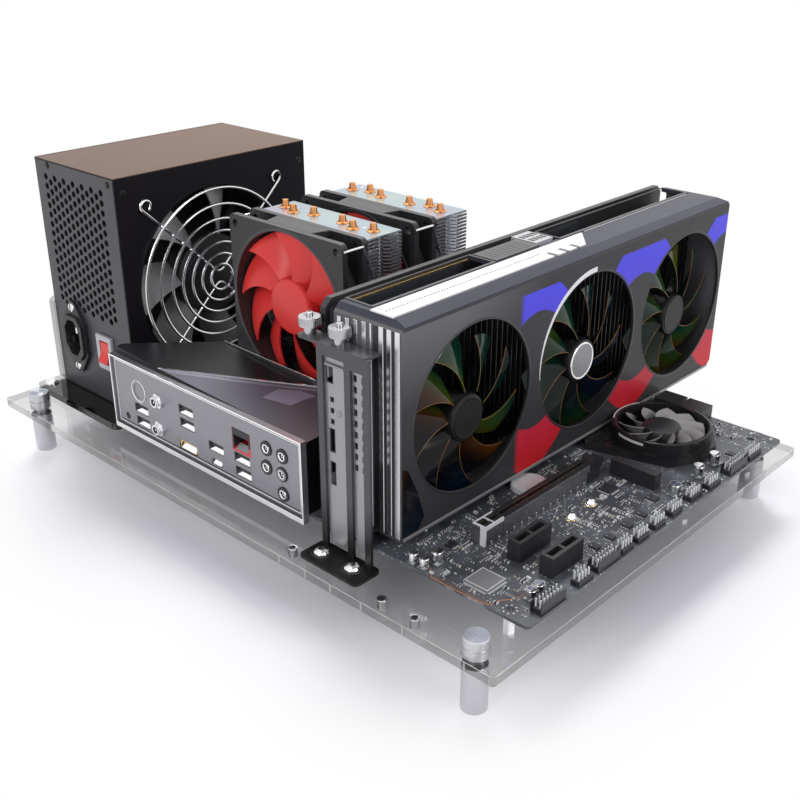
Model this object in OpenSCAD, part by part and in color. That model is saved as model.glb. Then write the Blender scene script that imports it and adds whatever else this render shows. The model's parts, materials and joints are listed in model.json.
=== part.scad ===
// Open acrylic computer case with its computer mounted on it.
// Left end (low X) holds the power supply, the near long edge (low Y) the rear ports.
// Work frame: origin over the plate's near left corner on the floor, +X along the near
// edge, +Y away from it, +Z up. place() moves it to the bottom centre of the whole.

/* [Which sub-part] */
// one sub-part by name, or all of them

/* [Acrylic chassis] */
// length of the clear base plate along X (mm)
plate_l = 410; // [350:500]
// width of the clear base plate along Y (mm)
plate_w = 288; // [260:320]
// thickness of the clear base plate (mm)
plate_t = 5; // [3:8]
// height of the plate's underside above the floor (mm)
plate_z = 25; // [15:50]
// diameter of the round metal feet (mm)
foot_d = 12.7; // [8:20]

/* [Power supply] */
// size of the power supply along X, Y and Z (mm)
psu_x = 85; // [80:100]
psu_y = 145; // [120:180]
psu_z = 150; // [150:150]
// number of rings in the wire guard
guard_rings = 7; // [4:8]
// distance between the holes of the rear vent (mm)
vent_pitch = 6; // [5.6:8]

/* [Cooler] */
// side of the two square cooler fans (mm)
fan_w = 90; // [80:120]
// depth of the two cooler fans (mm)
fan_t = 18; // [15:25]
// distance from one cooling fin to the next (mm)
fin_pitch = 2; // [1.5:4]
// number of fins in each stack
fin_count = 45; // [20:60]

/* [Graphics card] */
// length of the card's shroud along Y (mm)
card_l = 297.6; // [250:330]
// thickness of the card with its shroud along X (mm)
card_t = 52.4; // [50:60]
// height of the card above its slot (mm)
card_h = 112.2; // [108:140]
// diameter of the shroud's three fan openings (mm)
card_fan_d = 89; // [80:96]

/* [Hidden] */
top = plate_z + plate_t;
board_z = top + 10.4;
board_top = board_z + 1.6;
board_x = 103;
board_y = 25;
holes_x = [112.5, 236.9, 394.4];
holes_y = [30.4, 185.3, 257.7];
feet = [[27.5, 9.5], [393.5, 8], [27.5, 268], [393.5, 268]];
inserts = [[271.8, 9.4], [335.4, 8.9], [356.6, 8.6]];
dome_at = [[287.5, 15.1], [308.8, 15.6]];
psu_at = [11.6, 38.4, 34.5];
psu_fan = [psu_at[0] + psu_x, 107.5, 110.5];
fan_c = [205, 96];
fin_w = 86;
fin_d = 28;
fin_z = 50;
card_y = 30;
deep = card_y + card_l;
card_x = 276;
card_z = 47.8;
card_fans = [[82.6, 102.5], [181.4, 102.5], [280.2, 102.5]];
card_axis_z = 95;
bracket_screw = [9.2, 29.4];
chip_fan = [357.5, 219];
slot_x1 = 280.3;
slot_x2 = 350.5;

module place() { translate([-plate_l / 2, -deep / 2, 0]) children(); }

// flat plate with rounded corners in the XY plane
module rounded(l, w, t, r) { linear_extrude(t) round_rect(l, w, r); }
module round_rect(l, w, r) {
  translate([r, 0]) square([l - 2 * r, w]);
  translate([0, r]) square([l, w - 2 * r]);
  for (x = [r, l - r], y = [r, w - r]) translate([x, y]) circle(r = r, $fn = 24);
}

// one thin blade: a curved strip along the radius, cut to a swept outline in plan
module blade(r0, r1, h, a0, a1, sweep, t) {
  ya = r1 * sin((a1 - a0) / 2 + abs(sweep) / 2) + 1;
  intersection() {
    linear_extrude(h) polygon([
      for (i = [0:3]) let(r = r0 + (r1 - r0) * i / 3, a = a0 + sweep * i / 3)
        r * [cos(a), sin(a)],
      for (i = [3:-1:0]) let(r = r0 + (r1 - r0) * i / 3, a = a1 + sweep * i / 3)
        r * [cos(a), sin(a)]]);
    rotate([90, 0, 90]) linear_extrude(r1 + 2) polygon([
      for (i = [0:3]) let(y = -ya + 2 * ya * i / 3, u = i / 3)
        [y, 0.4 + (h - t - 0.8) * u * (1.35 - 0.35 * u)],
      for (i = [3:-1:0]) let(y = -ya + 2 * ya * i / 3, u = i / 3)
        [y, 0.4 + t + (h - t - 0.8) * u * (1.35 - 0.35 * u)]]);
  }
}

// fan rotor on its shaft hole, blades around a hub, axis +Z, base at z = 0
module rotor(d, hub, h, n, wide, sweep, t = 1.2) {
  difference() {
    union() {
      rotate_extrude($fn = 40) polygon([[0, 0], [hub / 2, 0], [hub / 2, h - 1.2],
        [hub / 2 - 1.2, h], [0, h]]);
      for (i = [0:n - 1]) rotate(i * 360 / n)
        blade(hub / 2 - 0.4, d / 2, h, -wide / 2, wide / 2, sweep, t);
    }
    translate([0, 0, -1]) cylinder(d = 3.1, h = h - 2, $fn = 24);
  }
}

// deep square fan body with a round bore, struts and a motor stub, axis +Z
module fan_block(w, t, d, hub) {
  difference() {
    translate([-w / 2, -w / 2, 0]) rounded(w, w, t, 3);
    translate([0, 0, -1]) cylinder(d = d, h = t + 2, $fn = 48);
    for (x = [-1, 1], y = [-1, 1])
      translate([x * (w / 2 - 7.5), y * (w / 2 - 7.5), -1]) cylinder(d = 4.3, h = t + 2, $fn = 12);
  }
  cylinder(d = hub, h = 3, $fn = 40);
  cylinder(d = 3, h = t - 6, $fn = 24);
  for (a = [45:90:315]) rotate(a) translate([hub / 2 - 1, -2, 0]) cube([(d - hub) / 2 + 2, 4, 2.4]);
}

// square fan frame: two flanges with a slim waist, four struts and a motor stub, axis +Z
module fan_frame(w, t, d, hub) {
  difference() {
    union() {
      for (z = [0, t - 3.6]) translate([-w / 2, -w / 2, z]) rounded(w, w, 3.6, 3);
      cylinder(d = d + 4, h = t, $fn = 48);
    }
    translate([0, 0, -1]) cylinder(d = d, h = t + 2, $fn = 48);
    for (x = [-1, 1], y = [-1, 1])
      translate([x * (w / 2 - 4.9), y * (w / 2 - 4.9), -1]) cylinder(d = 4.3, h = t + 2, $fn = 12);
  }
  cylinder(d = hub, h = 3, $fn = 40);
  cylinder(d = 3, h = t - 6, $fn = 24);
  for (a = [45:90:315]) rotate(a) translate([hub / 2 - 1, -2, 0]) cube([(d - hub) / 2 + 2, 4, 2.4]);
}

/* acrylic chassis */

module base_plate() color([0.9, 0.95, 0.95, 0.35]) place() translate([0, 0, plate_z])
  linear_extrude(plate_t) difference() {
    round_rect(plate_l, plate_w, 2);
    translate(bracket_screw) circle(d = 3.4, $fn = 16);
    for (p = feet) translate(p) circle(d = 6.2, $fn = 16);
    for (p = inserts) translate(p) circle(d = 5, $fn = 16);
    for (p = dome_at) translate(p) circle(d = 3.4, $fn = 16);
  }

module foot_posts() color([0.75, 0.75, 0.76]) place() for (p = feet) translate(p) {
  rotate_extrude($fn = 32) polygon([[0, 0], [foot_d / 2 - 0.8, 0], [foot_d / 2, 0.8],
    [foot_d / 2, plate_z - 0.4], [foot_d / 2 - 0.4, plate_z], [3, plate_z], [3, top + 3], [0, top + 3]]);
}

module foot_caps() color([0.75, 0.75, 0.76]) place() for (p = feet) translate([p[0], p[1], top]) {
  rotate_extrude($fn = 32) polygon([[3, 0], [foot_d / 2, 0], [foot_d / 2, 4.6],
    [foot_d / 2 - 0.8, 4.6], [foot_d / 2 - 0.8, 5.4], [foot_d / 2, 5.4], [foot_d / 2, 9.6],
    [foot_d / 2 - 0.5, 10], [0, 10], [0, 3], [3, 3]]);
}

module plate_inserts() color([0.8, 0.8, 0.8]) place() for (p = inserts)
  translate([p[0], p[1], plate_z]) difference() {
    cylinder(d = 5, h = plate_t + 0.4, $fn = 24);
    translate([0, 0, -1]) cylinder(d = 3.2, h = plate_t + 3, $fn = 24);
  }

module board_standoffs() color([0.8, 0.78, 0.7]) place() for (x = holes_x, y = holes_y)
  translate([x, y, top]) cylinder(d = 6, h = board_z - top, $fn = 6);

module psu_bracket() color([0.9, 0.95, 0.95, 0.35]) place() {
  translate([2, 22, top]) difference() {
    rounded(92, 164, psu_at[2] - top, 4);
    translate([bracket_screw[0] - 2, bracket_screw[1] - 22, -1]) cylinder(d = 3.4, h = 9, $fn = 16);
  }
  translate([psu_at[0] - 5, 37, psu_at[2]]) rotate([90, 0, 90]) rounded(70, 58, 5, 4);
}

module dome_screws() color([0.8, 0.8, 0.82]) place() {
  for (p = dome_at) translate([p[0], p[1], top + 1.6]) dome(4.2, 2.6, 6.6);
  translate([bracket_screw[0], bracket_screw[1], psu_at[2]]) dome(4.6, 3, 7);
}
module dome(r, h, down) {
  rotate_extrude($fn = 24) polygon([[0, -down], [1.6, -down], [1.6, 0], [r, 0],
    for (a = [15:25:90]) [r * cos(a), h * sin(a)]]);
}

/* power supply */

module psu_chassis() color([0.2, 0.2, 0.21]) place() translate(psu_at) {
  difference() {
    translate([0, 0, 1.2]) cube([psu_x - 1.2, psu_y, psu_z - 2.4]);
    translate([1.2, 1.2, 0]) cube([psu_x, psu_y - 2.4, psu_z]);
    translate([0, 2, 0]) rotate([90, 0, 0]) linear_extrude(4) rear_cuts();
    translate([psu_x / 2, psu_y + 1, 30]) rotate([90, 0, 0]) cylinder(d = 26, h = 4, $fn = 32);
  }
}
module rear_cuts() {
  for (i = [0:12], j = [0:13])
    translate([10.7 + i * vent_pitch * 0.83, psu_z - 10.6 - (j + (i % 2) / 2) * vent_pitch])
      circle(d = 4.5, $fn = 6);
  translate([24, 38]) offset(delta = 0.3) inlet_profile(27, 20);
  translate([49.5, 26]) square([13.4, 19.4]);
}
module inlet_profile(h, w) {
  polygon([[-w / 2, -h / 2 + 6], [-w / 2 + 5, -h / 2], [w / 2 - 5, -h / 2], [w / 2, -h / 2 + 6],
    [w / 2, h / 2 - 6], [w / 2 - 5, h / 2], [-w / 2 + 5, h / 2], [-w / 2, h / 2 - 6]]);
}

module psu_cover() color([0.18, 0.17, 0.17]) place() translate(psu_at) difference() {
  cube([psu_x, psu_y, psu_z]);
  translate([-1, -1, 1.2]) cube([psu_x - 0.2, psu_y + 2, psu_z - 2.4]);
  translate([psu_x - 3, psu_fan[1] - psu_at[1], psu_fan[2] - psu_at[2]]) rotate([0, 90, 0]) {
    cylinder(d = 116, h = 6, $fn = 64);
    for (x = [-1, 1], y = [-1, 1]) translate([x * 52.5, y * 52.5, 0]) cylinder(d = 4.4, h = 6, $fn = 12);
  }
}

module psu_fan_frame() color([0.07, 0.07, 0.08]) place() translate(psu_fan)
  rotate([0, 90, 0]) translate([0, 0, -26.2]) fan_block(120, 25, 115, 42);

module psu_rotor() color([0.4, 0.39, 0.4]) place() translate(psu_fan)
  rotate([0, 90, 0]) translate([0, 0, -22.7]) rotor(110, 40, 19, 7, 34, 12, 1.6);

module psu_grille() color([0.85, 0.85, 0.86]) place() translate(psu_fan) rotate([0, 90, 0]) {
  for (i = [0:guard_rings - 1]) translate([0, 0, 2.1]) rotate_extrude($fn = 40)
    translate([7.4 + i * (6.9 + 0.2 * i), 0]) square([1.5, 1.6]);
  for (a = [45:90:315]) rotate(a) {
    translate([8, -0.9, 0.5]) cube([62, 1.8, 1.8]);
    difference() {
      translate([74.25, 0, 0]) cylinder(d = 11.2, h = 1.8, $fn = 24);
      translate([74.25, 0, -1]) cylinder(d = 7.4, h = 4, $fn = 24);
    }
  }
}

module psu_inlet() color([0.06, 0.06, 0.06]) place()
  translate([psu_at[0] + 24, psu_at[1], psu_at[2] + 38]) rotate([90, 0, 0]) difference() {
    union() {
      hull() {
        linear_extrude(2.4) inlet_profile(33, 25);
        for (y = [-20, 20]) translate([0, y, 0]) cylinder(d = 9, h = 2.4, $fn = 20);
      }
      linear_extrude(4.4) inlet_profile(29, 22);
      translate([0, 0, -16]) linear_extrude(18) inlet_profile(27, 20);
    }
    translate([0, 0, -13]) linear_extrude(20) inlet_profile(23.6, 16.6);
    for (y = [-20, 20]) translate([0, y, -1]) cylinder(d = 3.4, h = 5, $fn = 16);
  }

module psu_inlet_pins() color([0.8, 0.8, 0.8]) place()
  translate([psu_at[0] + 24, psu_at[1] + 13, psu_at[2] + 38])
    for (p = [[0, 4], [-5, -3], [5, -3]]) translate([p[0] - 1, -14, p[1] - 2]) cube([2, 14, 4]);

module switch_bezel() color([0.75, 0.75, 0.76]) place()
  translate([psu_at[0] + 56.2, psu_at[1], psu_at[2] + 35.7]) rotate([90, 0, 0]) {
    difference() {
      union() {
        translate([-8.2, -11.4, 0]) rounded(16.4, 22.8, 1.8, 1);
        translate([-6.6, -9.6, -8]) cube([13.2, 19.2, 9]);
      }
      translate([-5, -8, -7]) cube([10, 16, 20]);
      translate([-9, 0, -4]) rotate([0, 90, 0]) cylinder(d = 2.1, h = 18, $fn = 24);
    }
  }

module switch_rocker() color([0.85, 0.12, 0.1]) place()
  translate([psu_at[0] + 56.2, psu_at[1], psu_at[2] + 35.7]) rotate([90, 0, 0]) {
    translate([-4.6, 0, 0]) rotate([90, 0, 90]) linear_extrude(9.2)
      polygon([[-6.2, 4.4], [-6.6, 0], [-5, -5.6], [5, -5.6], [6.6, -2], [6.6, 1.2], [0, 1.4]]);
    translate([-6.4, 0, -4]) rotate([0, 90, 0]) cylinder(d = 2, h = 12.8, $fn = 24);
  }

/* motherboard and what stands on it */

module motherboard() color([0.16, 0.17, 0.19]) place() translate([0, 0, board_z])
  linear_extrude(1.6) difference() {
    translate([board_x, board_y]) round_rect(305.4, 244, 2.5);
    for (x = holes_x, y = holes_y) translate([x, y]) circle(d = 4, $fn = 16);
  }

usb_at = [[126.9, 55.9], [127.5, 47.4], [171.3, 69.3], [171.7, 61.1], [197, 55.4],
  [219.4, 56.7], [219.9, 48.2]];
jack_at = [[240.3, 71], [252.7, 70.8], [239.9, 59.8], [252, 60], [252.3, 48.4]];
antenna_at = [[146.1, 68], [145.2, 50.1]];

module io_shield() color([0.72, 0.72, 0.75]) place() translate([0, 21.6, 0]) {
  rotate([90, 0, 0]) translate([0, 0, -0.8]) linear_extrude(0.8) difference() {
    translate([100.1, 37.4]) square([168.9, 47.3]);
    for (p = usb_at) translate(p - [6.5, 3]) square([13, 6]);
    for (p = jack_at) translate(p) circle(d = 8.6, $fn = 20);
    for (p = antenna_at) translate(p) circle(d = 6.6, $fn = 20);
    translate([125.9, 67.4]) circle(d = 12.6, $fn = 24);
    translate([211.9, 60.3]) square([15.2, 13.8]);
    translate([162.6, 43.4]) square([16.6, 6]);
    translate([192, 44.6]) square([9.4, 3.6]);
    translate([111.7, 47]) circle(d = 4.4, $fn = 16);
  }
  translate([100.1, -1.4, 37.4]) difference() {
    cube([168.9, 3.6, 47.3]);
    translate([1.4, -1, 1.4]) cube([166.1, 6, 44.5]);
  }
}

module io_cover() color([0.15, 0.15, 0.17]) place() difference() {
  translate([0, 0, board_top]) linear_extrude(91.4 - board_top) cover_plan(0);
  translate([0, 0, board_top - 1]) linear_extrude(80 - board_top) offset(delta = -2) cover_plan(1);
  translate([141, 21.8, 87]) rotate([0, 0, 28]) rotate([3.3, 0, 0]) translate([-60, -90, 0]) cube([220, 90, 20]);
  translate([141, 21.8, 87]) rotate([0, 0, 28]) rotate([6, 0, 0]) translate([-60, 0, 0]) cube([220, 90, 20]);
}
module cover_plan(k) {
  polygon([[103.6, 23.8 - k * 8], [269, 23.8 - k * 8], [269, 32], [262, 44], [260, 69.3], [148.8, 69.3],
    [110, 34], [103.6, 28]]);
}

module usb_ports() color([0.78, 0.78, 0.8]) place() {
  for (p = usb_at) translate([p[0], 22.4, p[1]]) difference() {
    translate([-6.5, 0, -3]) cube([13, 14, 6]);
    translate([-6, -1, -2.5]) cube([12, 13, 5]);
  }
  for (p = usb_at) translate([p[0] - 5.4, 24, p[1] + 0.1]) cube([10.8, 11, 1.6]);
  translate([192.2, 22.4, 44.9]) difference() {
    cube([9, 9, 3.2]);
    translate([0.5, -1, 0.5]) cube([8, 8, 2.2]);
  }
}

module network_port() color([0.7, 0.08, 0.1]) place() translate([212, 21.6, 60.4]) difference() {
  cube([15, 17, 13.6]);
  translate([1.4, -1, 1.2]) cube([12.2, 14, 8.6]);
  translate([4.4, -1, 9]) cube([6.2, 14, 3.2]);
}

module display_port() color([0.8, 0.62, 0.3]) place() translate([170.9, 22, 46.4]) rotate([90, 0, 0])
  translate([0, 0, -11]) difference() {
    union() {
      linear_extrude(11) polygon([[-8, -2.9], [6, -2.9], [8, -0.9], [8, 2.9], [-8, 2.9]]);
      translate([-9, -3.6, 0]) cube([18, 7.2, 10.6]);
    }
    translate([0, 0, 1.5]) linear_extrude(11) offset(delta = -0.7)
      polygon([[-8, -2.9], [6, -2.9], [8, -0.9], [8, 2.9], [-8, 2.9]]);
  }

module audio_jacks() color([0.1, 0.1, 0.11]) place() for (p = jack_at)
  translate([p[0], 21, p[1]]) rotate([-90, 0, 0]) difference() {
    union() {
      cylinder(d = 8.4, h = 3, $fn = 24);
      translate([-5, -4.8, 1.4]) cube([10, 9.6, 10]);
    }
    translate([0, 0, -1]) cylinder(d = 3.6, h = 11, $fn = 16);
  }

module antenna_sockets() color([0.82, 0.8, 0.75]) place() for (p = antenna_at)
  translate([p[0], 22.4, p[1]]) rotate([90, 0, 0]) difference() {
    union() {
      translate([0, 0, 0.8]) cylinder(d = 9.4, h = 1.6, $fn = 6);
      cylinder(d = 6.2, h = 5, $fn = 24);
      translate([0, 0, -4]) cylinder(d = 5, h = 5, $fn = 16);
    }
    translate([0, 0, 3]) cylinder(d = 4.4, h = 8, $fn = 16);
  }

module keyboard_port() color([0.7, 0.7, 0.72]) place() translate([125.9, 21.4, 67.4])
  rotate([-90, 0, 0]) difference() {
    union() {
      cylinder(d = 12.4, h = 12, $fn = 24);
      translate([0, 0, 1]) cylinder(d = 14.6, h = 2, $fn = 24);
    }
    translate([0, 0, -1]) cylinder(d = 9.6, h = 10, $fn = 24);
  }

module cpu_socket() color([0.25, 0.25, 0.26]) place() translate([183.5, 106, board_top]) cube([45, 45, 7]);

module memory_slots() color([0.1, 0.1, 0.11]) place() for (i = [0:3])
  translate([112, 200 + i * 9.6, board_top]) difference() {
    union() {
      cube([138, 6.6, 7]);
      for (x = [0, 131.5]) translate([x, 0, 0]) cube([6.5, 6.6, 17]);
    }
    translate([6.5, 2.5, 3]) cube([125, 1.6, 20]);
  }

module sata_ports() color([0.07, 0.07, 0.08]) place() for (x = [331, 348])
  translate([x, 254.5, board_top]) difference() {
    cube([15.4, 14, 8]);
    translate([1.6, 5, 2]) cube([12.2, 20, 4]);
  }

module board_power_socket() color([0.07, 0.07, 0.08]) place() translate([150, 255, board_top]) difference() {
  union() {
    cube([52, 10, 13]);
    translate([22, 9.5, 6]) cube([8, 2.5, 6]);
  }
  for (i = [0:5], j = [0:1]) translate([1.6 + i * 8.4, 1.4 + j * 4, 3]) cube([6.8, 3, 20]);
}

module main_slot() color([0.08, 0.08, 0.09]) place() translate([slot_x1 - 3.8, 62, board_top])
  long_slot();
module long_slot() {
  difference() {
    cube([7.6, 89, 11]);
    translate([2.9, 1.5, 3]) cube([1.8, 12, 10]);
    translate([2.9, 15.5, 3]) cube([1.8, 72, 10]);
  }
}

module second_slot() color([0.6, 0.6, 0.62]) place() translate([slot_x2 - 3.8, 62, board_top]) {
  long_slot();
  for (x = [-0.9, 7.5]) translate([x, 87, 0]) difference() {
    cube([1, 10.5, 6.6]);
    translate([-1, 7.2, 4]) rotate([0, 90, 0]) cylinder(d = 2.1, h = 3, $fn = 24);
  }
}

module slot_latch() color([0.08, 0.08, 0.09]) place() translate([slot_x2, 156.2, board_top + 4]) {
  translate([-3.4, 0, 0]) rotate([90, 0, 90]) linear_extrude(6.8)
    polygon([[-4, -2.4], [2.6, -2.4], [9, 3.6], [9, 5.6], [4, 5.6], [0.5, 9], [-2.4, 9], [-4, 5]]);
  translate([-4.6, 0, 0]) rotate([0, 90, 0]) cylinder(d = 2, h = 9.2, $fn = 24);
}

module short_slots() color([0.08, 0.08, 0.09]) place() for (x = [367.8, 386.7])
  translate([x, 62, board_top]) difference() {
    cube([7.6, 25, 11]);
    translate([2, 2, 3]) cube([3.6, 9, 10]);
    translate([2, 13, 3]) cube([3.6, 10, 10]);
  }

module chipset_cover() color([0.09, 0.09, 0.1]) place() {
  difference() {
    union() {
      translate([0, 0, board_top]) linear_extrude(5) polygon([[331, 181], [378, 194],
        [388, 212], [388, 228], [378, 243], [333, 243], [323, 232], [323, 190]]);
      translate([chip_fan[0], chip_fan[1], board_top]) cylinder(d = 57, h = 12, $fn = 64);
    }
    translate([chip_fan[0], chip_fan[1], board_top + 2]) cylinder(d = 51.6, h = 20, $fn = 64);
  }
  translate([chip_fan[0], chip_fan[1], board_top + 1.5]) {
    cylinder(d = 18, h = 1.7, $fn = 32);
    cylinder(d = 3, h = 6, $fn = 24);
  }
}

module chipset_rotor() color([0.12, 0.12, 0.13]) place()
  translate([chip_fan[0], chip_fan[1], board_top + 3.5]) rotor(49.6, 22, 8, 9, 26, -14, 0.9);

header_at = [[404.6, 239, 14], [404.5, 218, 18], [404.5, 193, 12], [403.6, 175, 12],
  [404.4, 154, 10], [404.6, 137, 10], [404.8, 121, 10], [404.6, 107, 10], [404.4, 90, 18],
  [405, 71, 12], [404.6, 45, 18]];
module pin_headers() color([0.08, 0.08, 0.09]) place() for (h = header_at)
  translate([h[0] - 2.6, h[1] - h[2] / 2, board_top]) {
    cube([5.2, h[2], 2.6]);
    for (x = [1.3, 3.9], y = [1.3:2.54:h[2] - 1]) translate([x - 0.35, y - 0.35, 2]) cube([0.7, 0.7, 6.4]);
  }

can_at = [[394.5, 196.7, 6.3], [395.5, 169.8, 6.3], [394, 215.2, 6.3], [396.6, 42.8, 5],
  [396.5, 48.8, 5], [337.5, 28.4, 5], [344.3, 28.6, 5], [346, 35.8, 6.3]];
module can_capacitors() color([0.8, 0.8, 0.82]) place() for (c = can_at)
  translate([c[0], c[1], board_top]) {
    translate([-c[2] / 2, -c[2] / 2, 0]) cube([c[2], c[2], 0.8]);
    cylinder(d = c[2] * 0.94, h = c[2] + 1, $fn = 20);
  }

module edge_connector() color([0.08, 0.08, 0.09]) place() translate([371.5, 169.5, board_top]) rotate(0)
  translate([-14, -3, 0]) cube([28, 6, 9]);

module m2_posts() color([0.85, 0.8, 0.65]) place() for (p = [[367.3, 132.9], [368.2, 114.2]])
  translate([p[0], p[1], board_top]) rotate_extrude($fn = 24)
    polygon([[0, 0], [4, 0], [4, 0.6], [3, 0.8], [2.4, 1.8], [1, 2.3], [0, 2.4]]);

/* tower cooler */

pipe_x = [-36, -25, -12.5, 10.5, 22.5, 34];
pipe_s = [0, -4, 0, 0, -4, 0];

module cooler_base() color([0.7, 0.7, 0.72]) place() {
  translate([fan_c[0] - 40, 118, board_top + 7]) cube([80, 24, 11]);
}

module heat_pipes() color([0.8, 0.45, 0.22]) place() for (i = [0:5])
  translate([fan_c[0] + pipe_x[i], 103.6 + pipe_s[i], board_top + 12.5]) {
    span = 157 - 103.6 - 2 * pipe_s[i];
    translate([0, 8, 0]) rotate([-90, 0, 0]) cylinder(d = 5, h = span - 16, $fn = 16);
    for (k = [0, 1]) translate([0, k * span, 0]) mirror([0, k, 0]) {
      translate([0, 8, 8]) rotate([90, 0, 90]) rotate([0, 0, 180])
        rotate_extrude(angle = 90, $fn = 24) translate([8, 0]) circle(d = 5, $fn = 16);
      translate([0, 0, 8]) cylinder(d = 5, h = 106, $fn = 16);
      translate([0, 0, 114]) cylinder(d1 = 5, d2 = 3.4, h = 5, $fn = 16);
    }
  }

module fins(y0, d) {
  w = fin_w;
  for (i = [0:fin_count - 1]) translate([fan_c[0] - w / 2, y0, top + fin_z - 30 + i * fin_pitch])
    linear_extrude(0.6) polygon([[0, 0], [w, 0], [w, d * 0.36], [w - 0.8, d * 0.4], [w - 0.8, d * 0.5],
      [w - 3, d * 0.6], [w, d * 0.7], [w, d], [0, d]]);
  for (x = [1, w - 6]) translate([fan_c[0] - w / 2 + x, y0 + d * 0.5, top + fin_z - 30])
    cube([2.4, 1, fin_pitch * (fin_count - 1) + 0.6]);
}

module fins_front() color([0.75, 0.76, 0.8]) place() translate([0, 0, 30]) fins(88, fin_d);
module fins_rear() color([0.75, 0.76, 0.8]) place() translate([0, 0, 30]) fins(141.8, fin_d);

module fan_frame_front() color([0.08, 0.08, 0.09]) place()
  translate([fan_c[0], 88, top + fan_c[1]]) rotate([90, 0, 0]) fan_frame(fan_w, fan_t, fan_w - 5, 32);
module fan_frame_rear() color([0.08, 0.08, 0.09]) place()
  translate([fan_c[0], 141.8, top + fan_c[1]]) rotate([90, 0, 0]) fan_frame(fan_w, fan_t, fan_w - 5, 32);

module rotor_front() color([0.85, 0.16, 0.16]) place()
  translate([fan_c[0], 84.6, top + fan_c[1]]) rotate([90, 0, 0]) rotor(83, 33, 13, 9, 34, -22, 1.4);
module rotor_rear() color([0.85, 0.16, 0.16]) place()
  translate([fan_c[0], 138.4, top + fan_c[1]]) rotate([90, 0, 0]) rotor(83, 33, 13, 9, 34, -22, 1.4);

module fan_clips() color([0.82, 0.82, 0.84]) place() for (y = [70, 123.8], s = [-1, 1])
  translate([fan_c[0] + s * (fan_w / 2 + 0.2), y + 0.6, top + fan_c[1] + fan_w / 2 - 4]) {
    rotate([-90, 0, 0]) cylinder(d = 1.4, h = fan_t - 4, $fn = 8);
    translate([0, fan_t - 4, 0]) rotate([-154, 0, s * 12]) cylinder(d = 1.4, h = 21, $fn = 8);
  }

/* graphics card */

module card_board() color([0.1, 0.12, 0.1]) place() {
  translate([slot_x1 - 0.8, card_y + 3, board_top + 13.4]) cube([1.6, 200, 100]);
  translate([slot_x1 - 0.8, 65, board_top + 3.4]) cube([1.6, 10, 11]);
  translate([slot_x1 - 0.8, 78, board_top + 3.4]) cube([1.6, 71, 11]);
}

module card_backplate() color([0.12, 0.12, 0.13]) place()
  translate([card_x, card_y, card_z]) rotate([90, 0, 90]) difference() {
    linear_extrude(slot_x1 - 0.8 - card_x) card_side(8);
    translate([6, 12, 1.5]) cube([195, card_h - 18, 9]);
    translate([208, 22, -1]) cube([80, 66, 9]);
  }

module card_shroud() color([0.12, 0.12, 0.13]) place() difference() {
  translate([card_x + 9, card_y, card_z]) rotate([90, 0, 90]) linear_extrude(card_t - 9) card_side(0);
  translate([card_x + 8, card_y, card_z]) rotate([90, 0, 90]) linear_extrude(card_t - 9.4)
    offset(delta = -2) card_side(0);
  translate([card_x + 8, card_y + 9, card_z + card_h - 5]) cube([17, 88, 9]);
  translate([card_x + 8, card_y + 138, card_z + card_h - 5]) cube([17, 151, 9]);
  for (f = card_fans) translate([card_x + card_t - 6, f[0], f[1]]) rotate([0, 90, 0])
    cylinder(d = card_fan_d, h = 20, $fn = 64);
  translate([card_x + card_t, 0, card_z + card_h - 1.6]) rotate([0, -76.8, 0]) cube([20, 400, 20]);
}
module card_side(low) {
  polygon([[2, low], [card_l - 4, low], [card_l, low + 4], [card_l, card_h - 4], [card_l - 4, card_h],
    [4, card_h], [0, card_h - 4], [0, low + 3]]);
}

module card_heatsink() color([0.8, 0.8, 0.82]) place() {
  translate([slot_x1 + 0.8, card_y + 2, card_z + 10]) {
    cube([3, 199, card_h - 22]);
    for (z = [0, card_h - 26]) translate([0, 198, z]) cube([3, 88.6, 4]);
    for (y = [0:4.4:286]) translate([0, y, 0]) cube([card_x + 32 - slot_x1 - 0.8, 0.6, card_h - 22]);
  }
  for (f = card_fans) translate([card_x + 31.5, f[0], card_axis_z]) rotate([0, 90, 0]) {
    cylinder(d = 24, h = 3.5, $fn = 32);
    cylinder(d = 3, h = 12, $fn = 24);
  }
}

module card_top_strip() color([0.9, 0.9, 0.9]) place()
  translate([0, 0, card_z + card_h]) linear_extrude(0.8) difference() {
    polygon([[305, 34], [319.5, 34], [319.5, 184], [306, 200], [305, 200]]);
    for (y = [156, 166, 176]) translate([313.4, y]) square([7, 3]);
  }

module card_power_socket() color([0.5, 0.5, 0.52]) place()
  translate([slot_x1 + 0.8, card_y + 138.4, card_z + card_h - 12]) cube([17, 15.2, 12.4]);

module card_fan(k) {
  translate([card_x + 35.6, card_fans[k][0], card_axis_z]) rotate([0, 90, 0])
    rotor(86, 26, 13, 11, 22, 16, 0.9);
}
module card_rotor_1() color([0.1, 0.1, 0.12]) place() card_fan(0);
module card_rotor_2() color([0.1, 0.1, 0.12]) place() card_fan(1);
module card_rotor_3() color([0.1, 0.1, 0.12]) place() card_fan(2);

module card_plate() color([0.65, 0.65, 0.66]) place() { card_plates(); card_tabs(); }
module card_plates() translate([284.8, 22.6, 45]) rotate([90, 0, 0]) linear_extrude(1) difference() {
  union() {
    square([31.6, 95]);
    for (x = [[2, 13], [21, 8]]) translate([x[0], 0])
      polygon([[0, 1], [0, -4], [x[1] * 0.25, -10], [x[1] * 0.75, -10], [x[1], -4], [x[1], 1]]);
  }
  for (z = [57.4, 63.2, 69]) translate([5.2, z]) square([2.6, 2.8]);
  translate([2.6, 78.6]) square([5, 10]);
  for (z = [24, 42]) translate([4, z]) square([4, 13]);
  translate([18.3, -1]) square([0.8, 88]);
  for (z = [38:5.8:88], k = [20.4, 26.2]) translate([k, z]) square([3, 3.4]);
}
module card_tabs() for (z = [62, 126]) translate([288, 22, z]) cube([1, 8, 12]);

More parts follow.
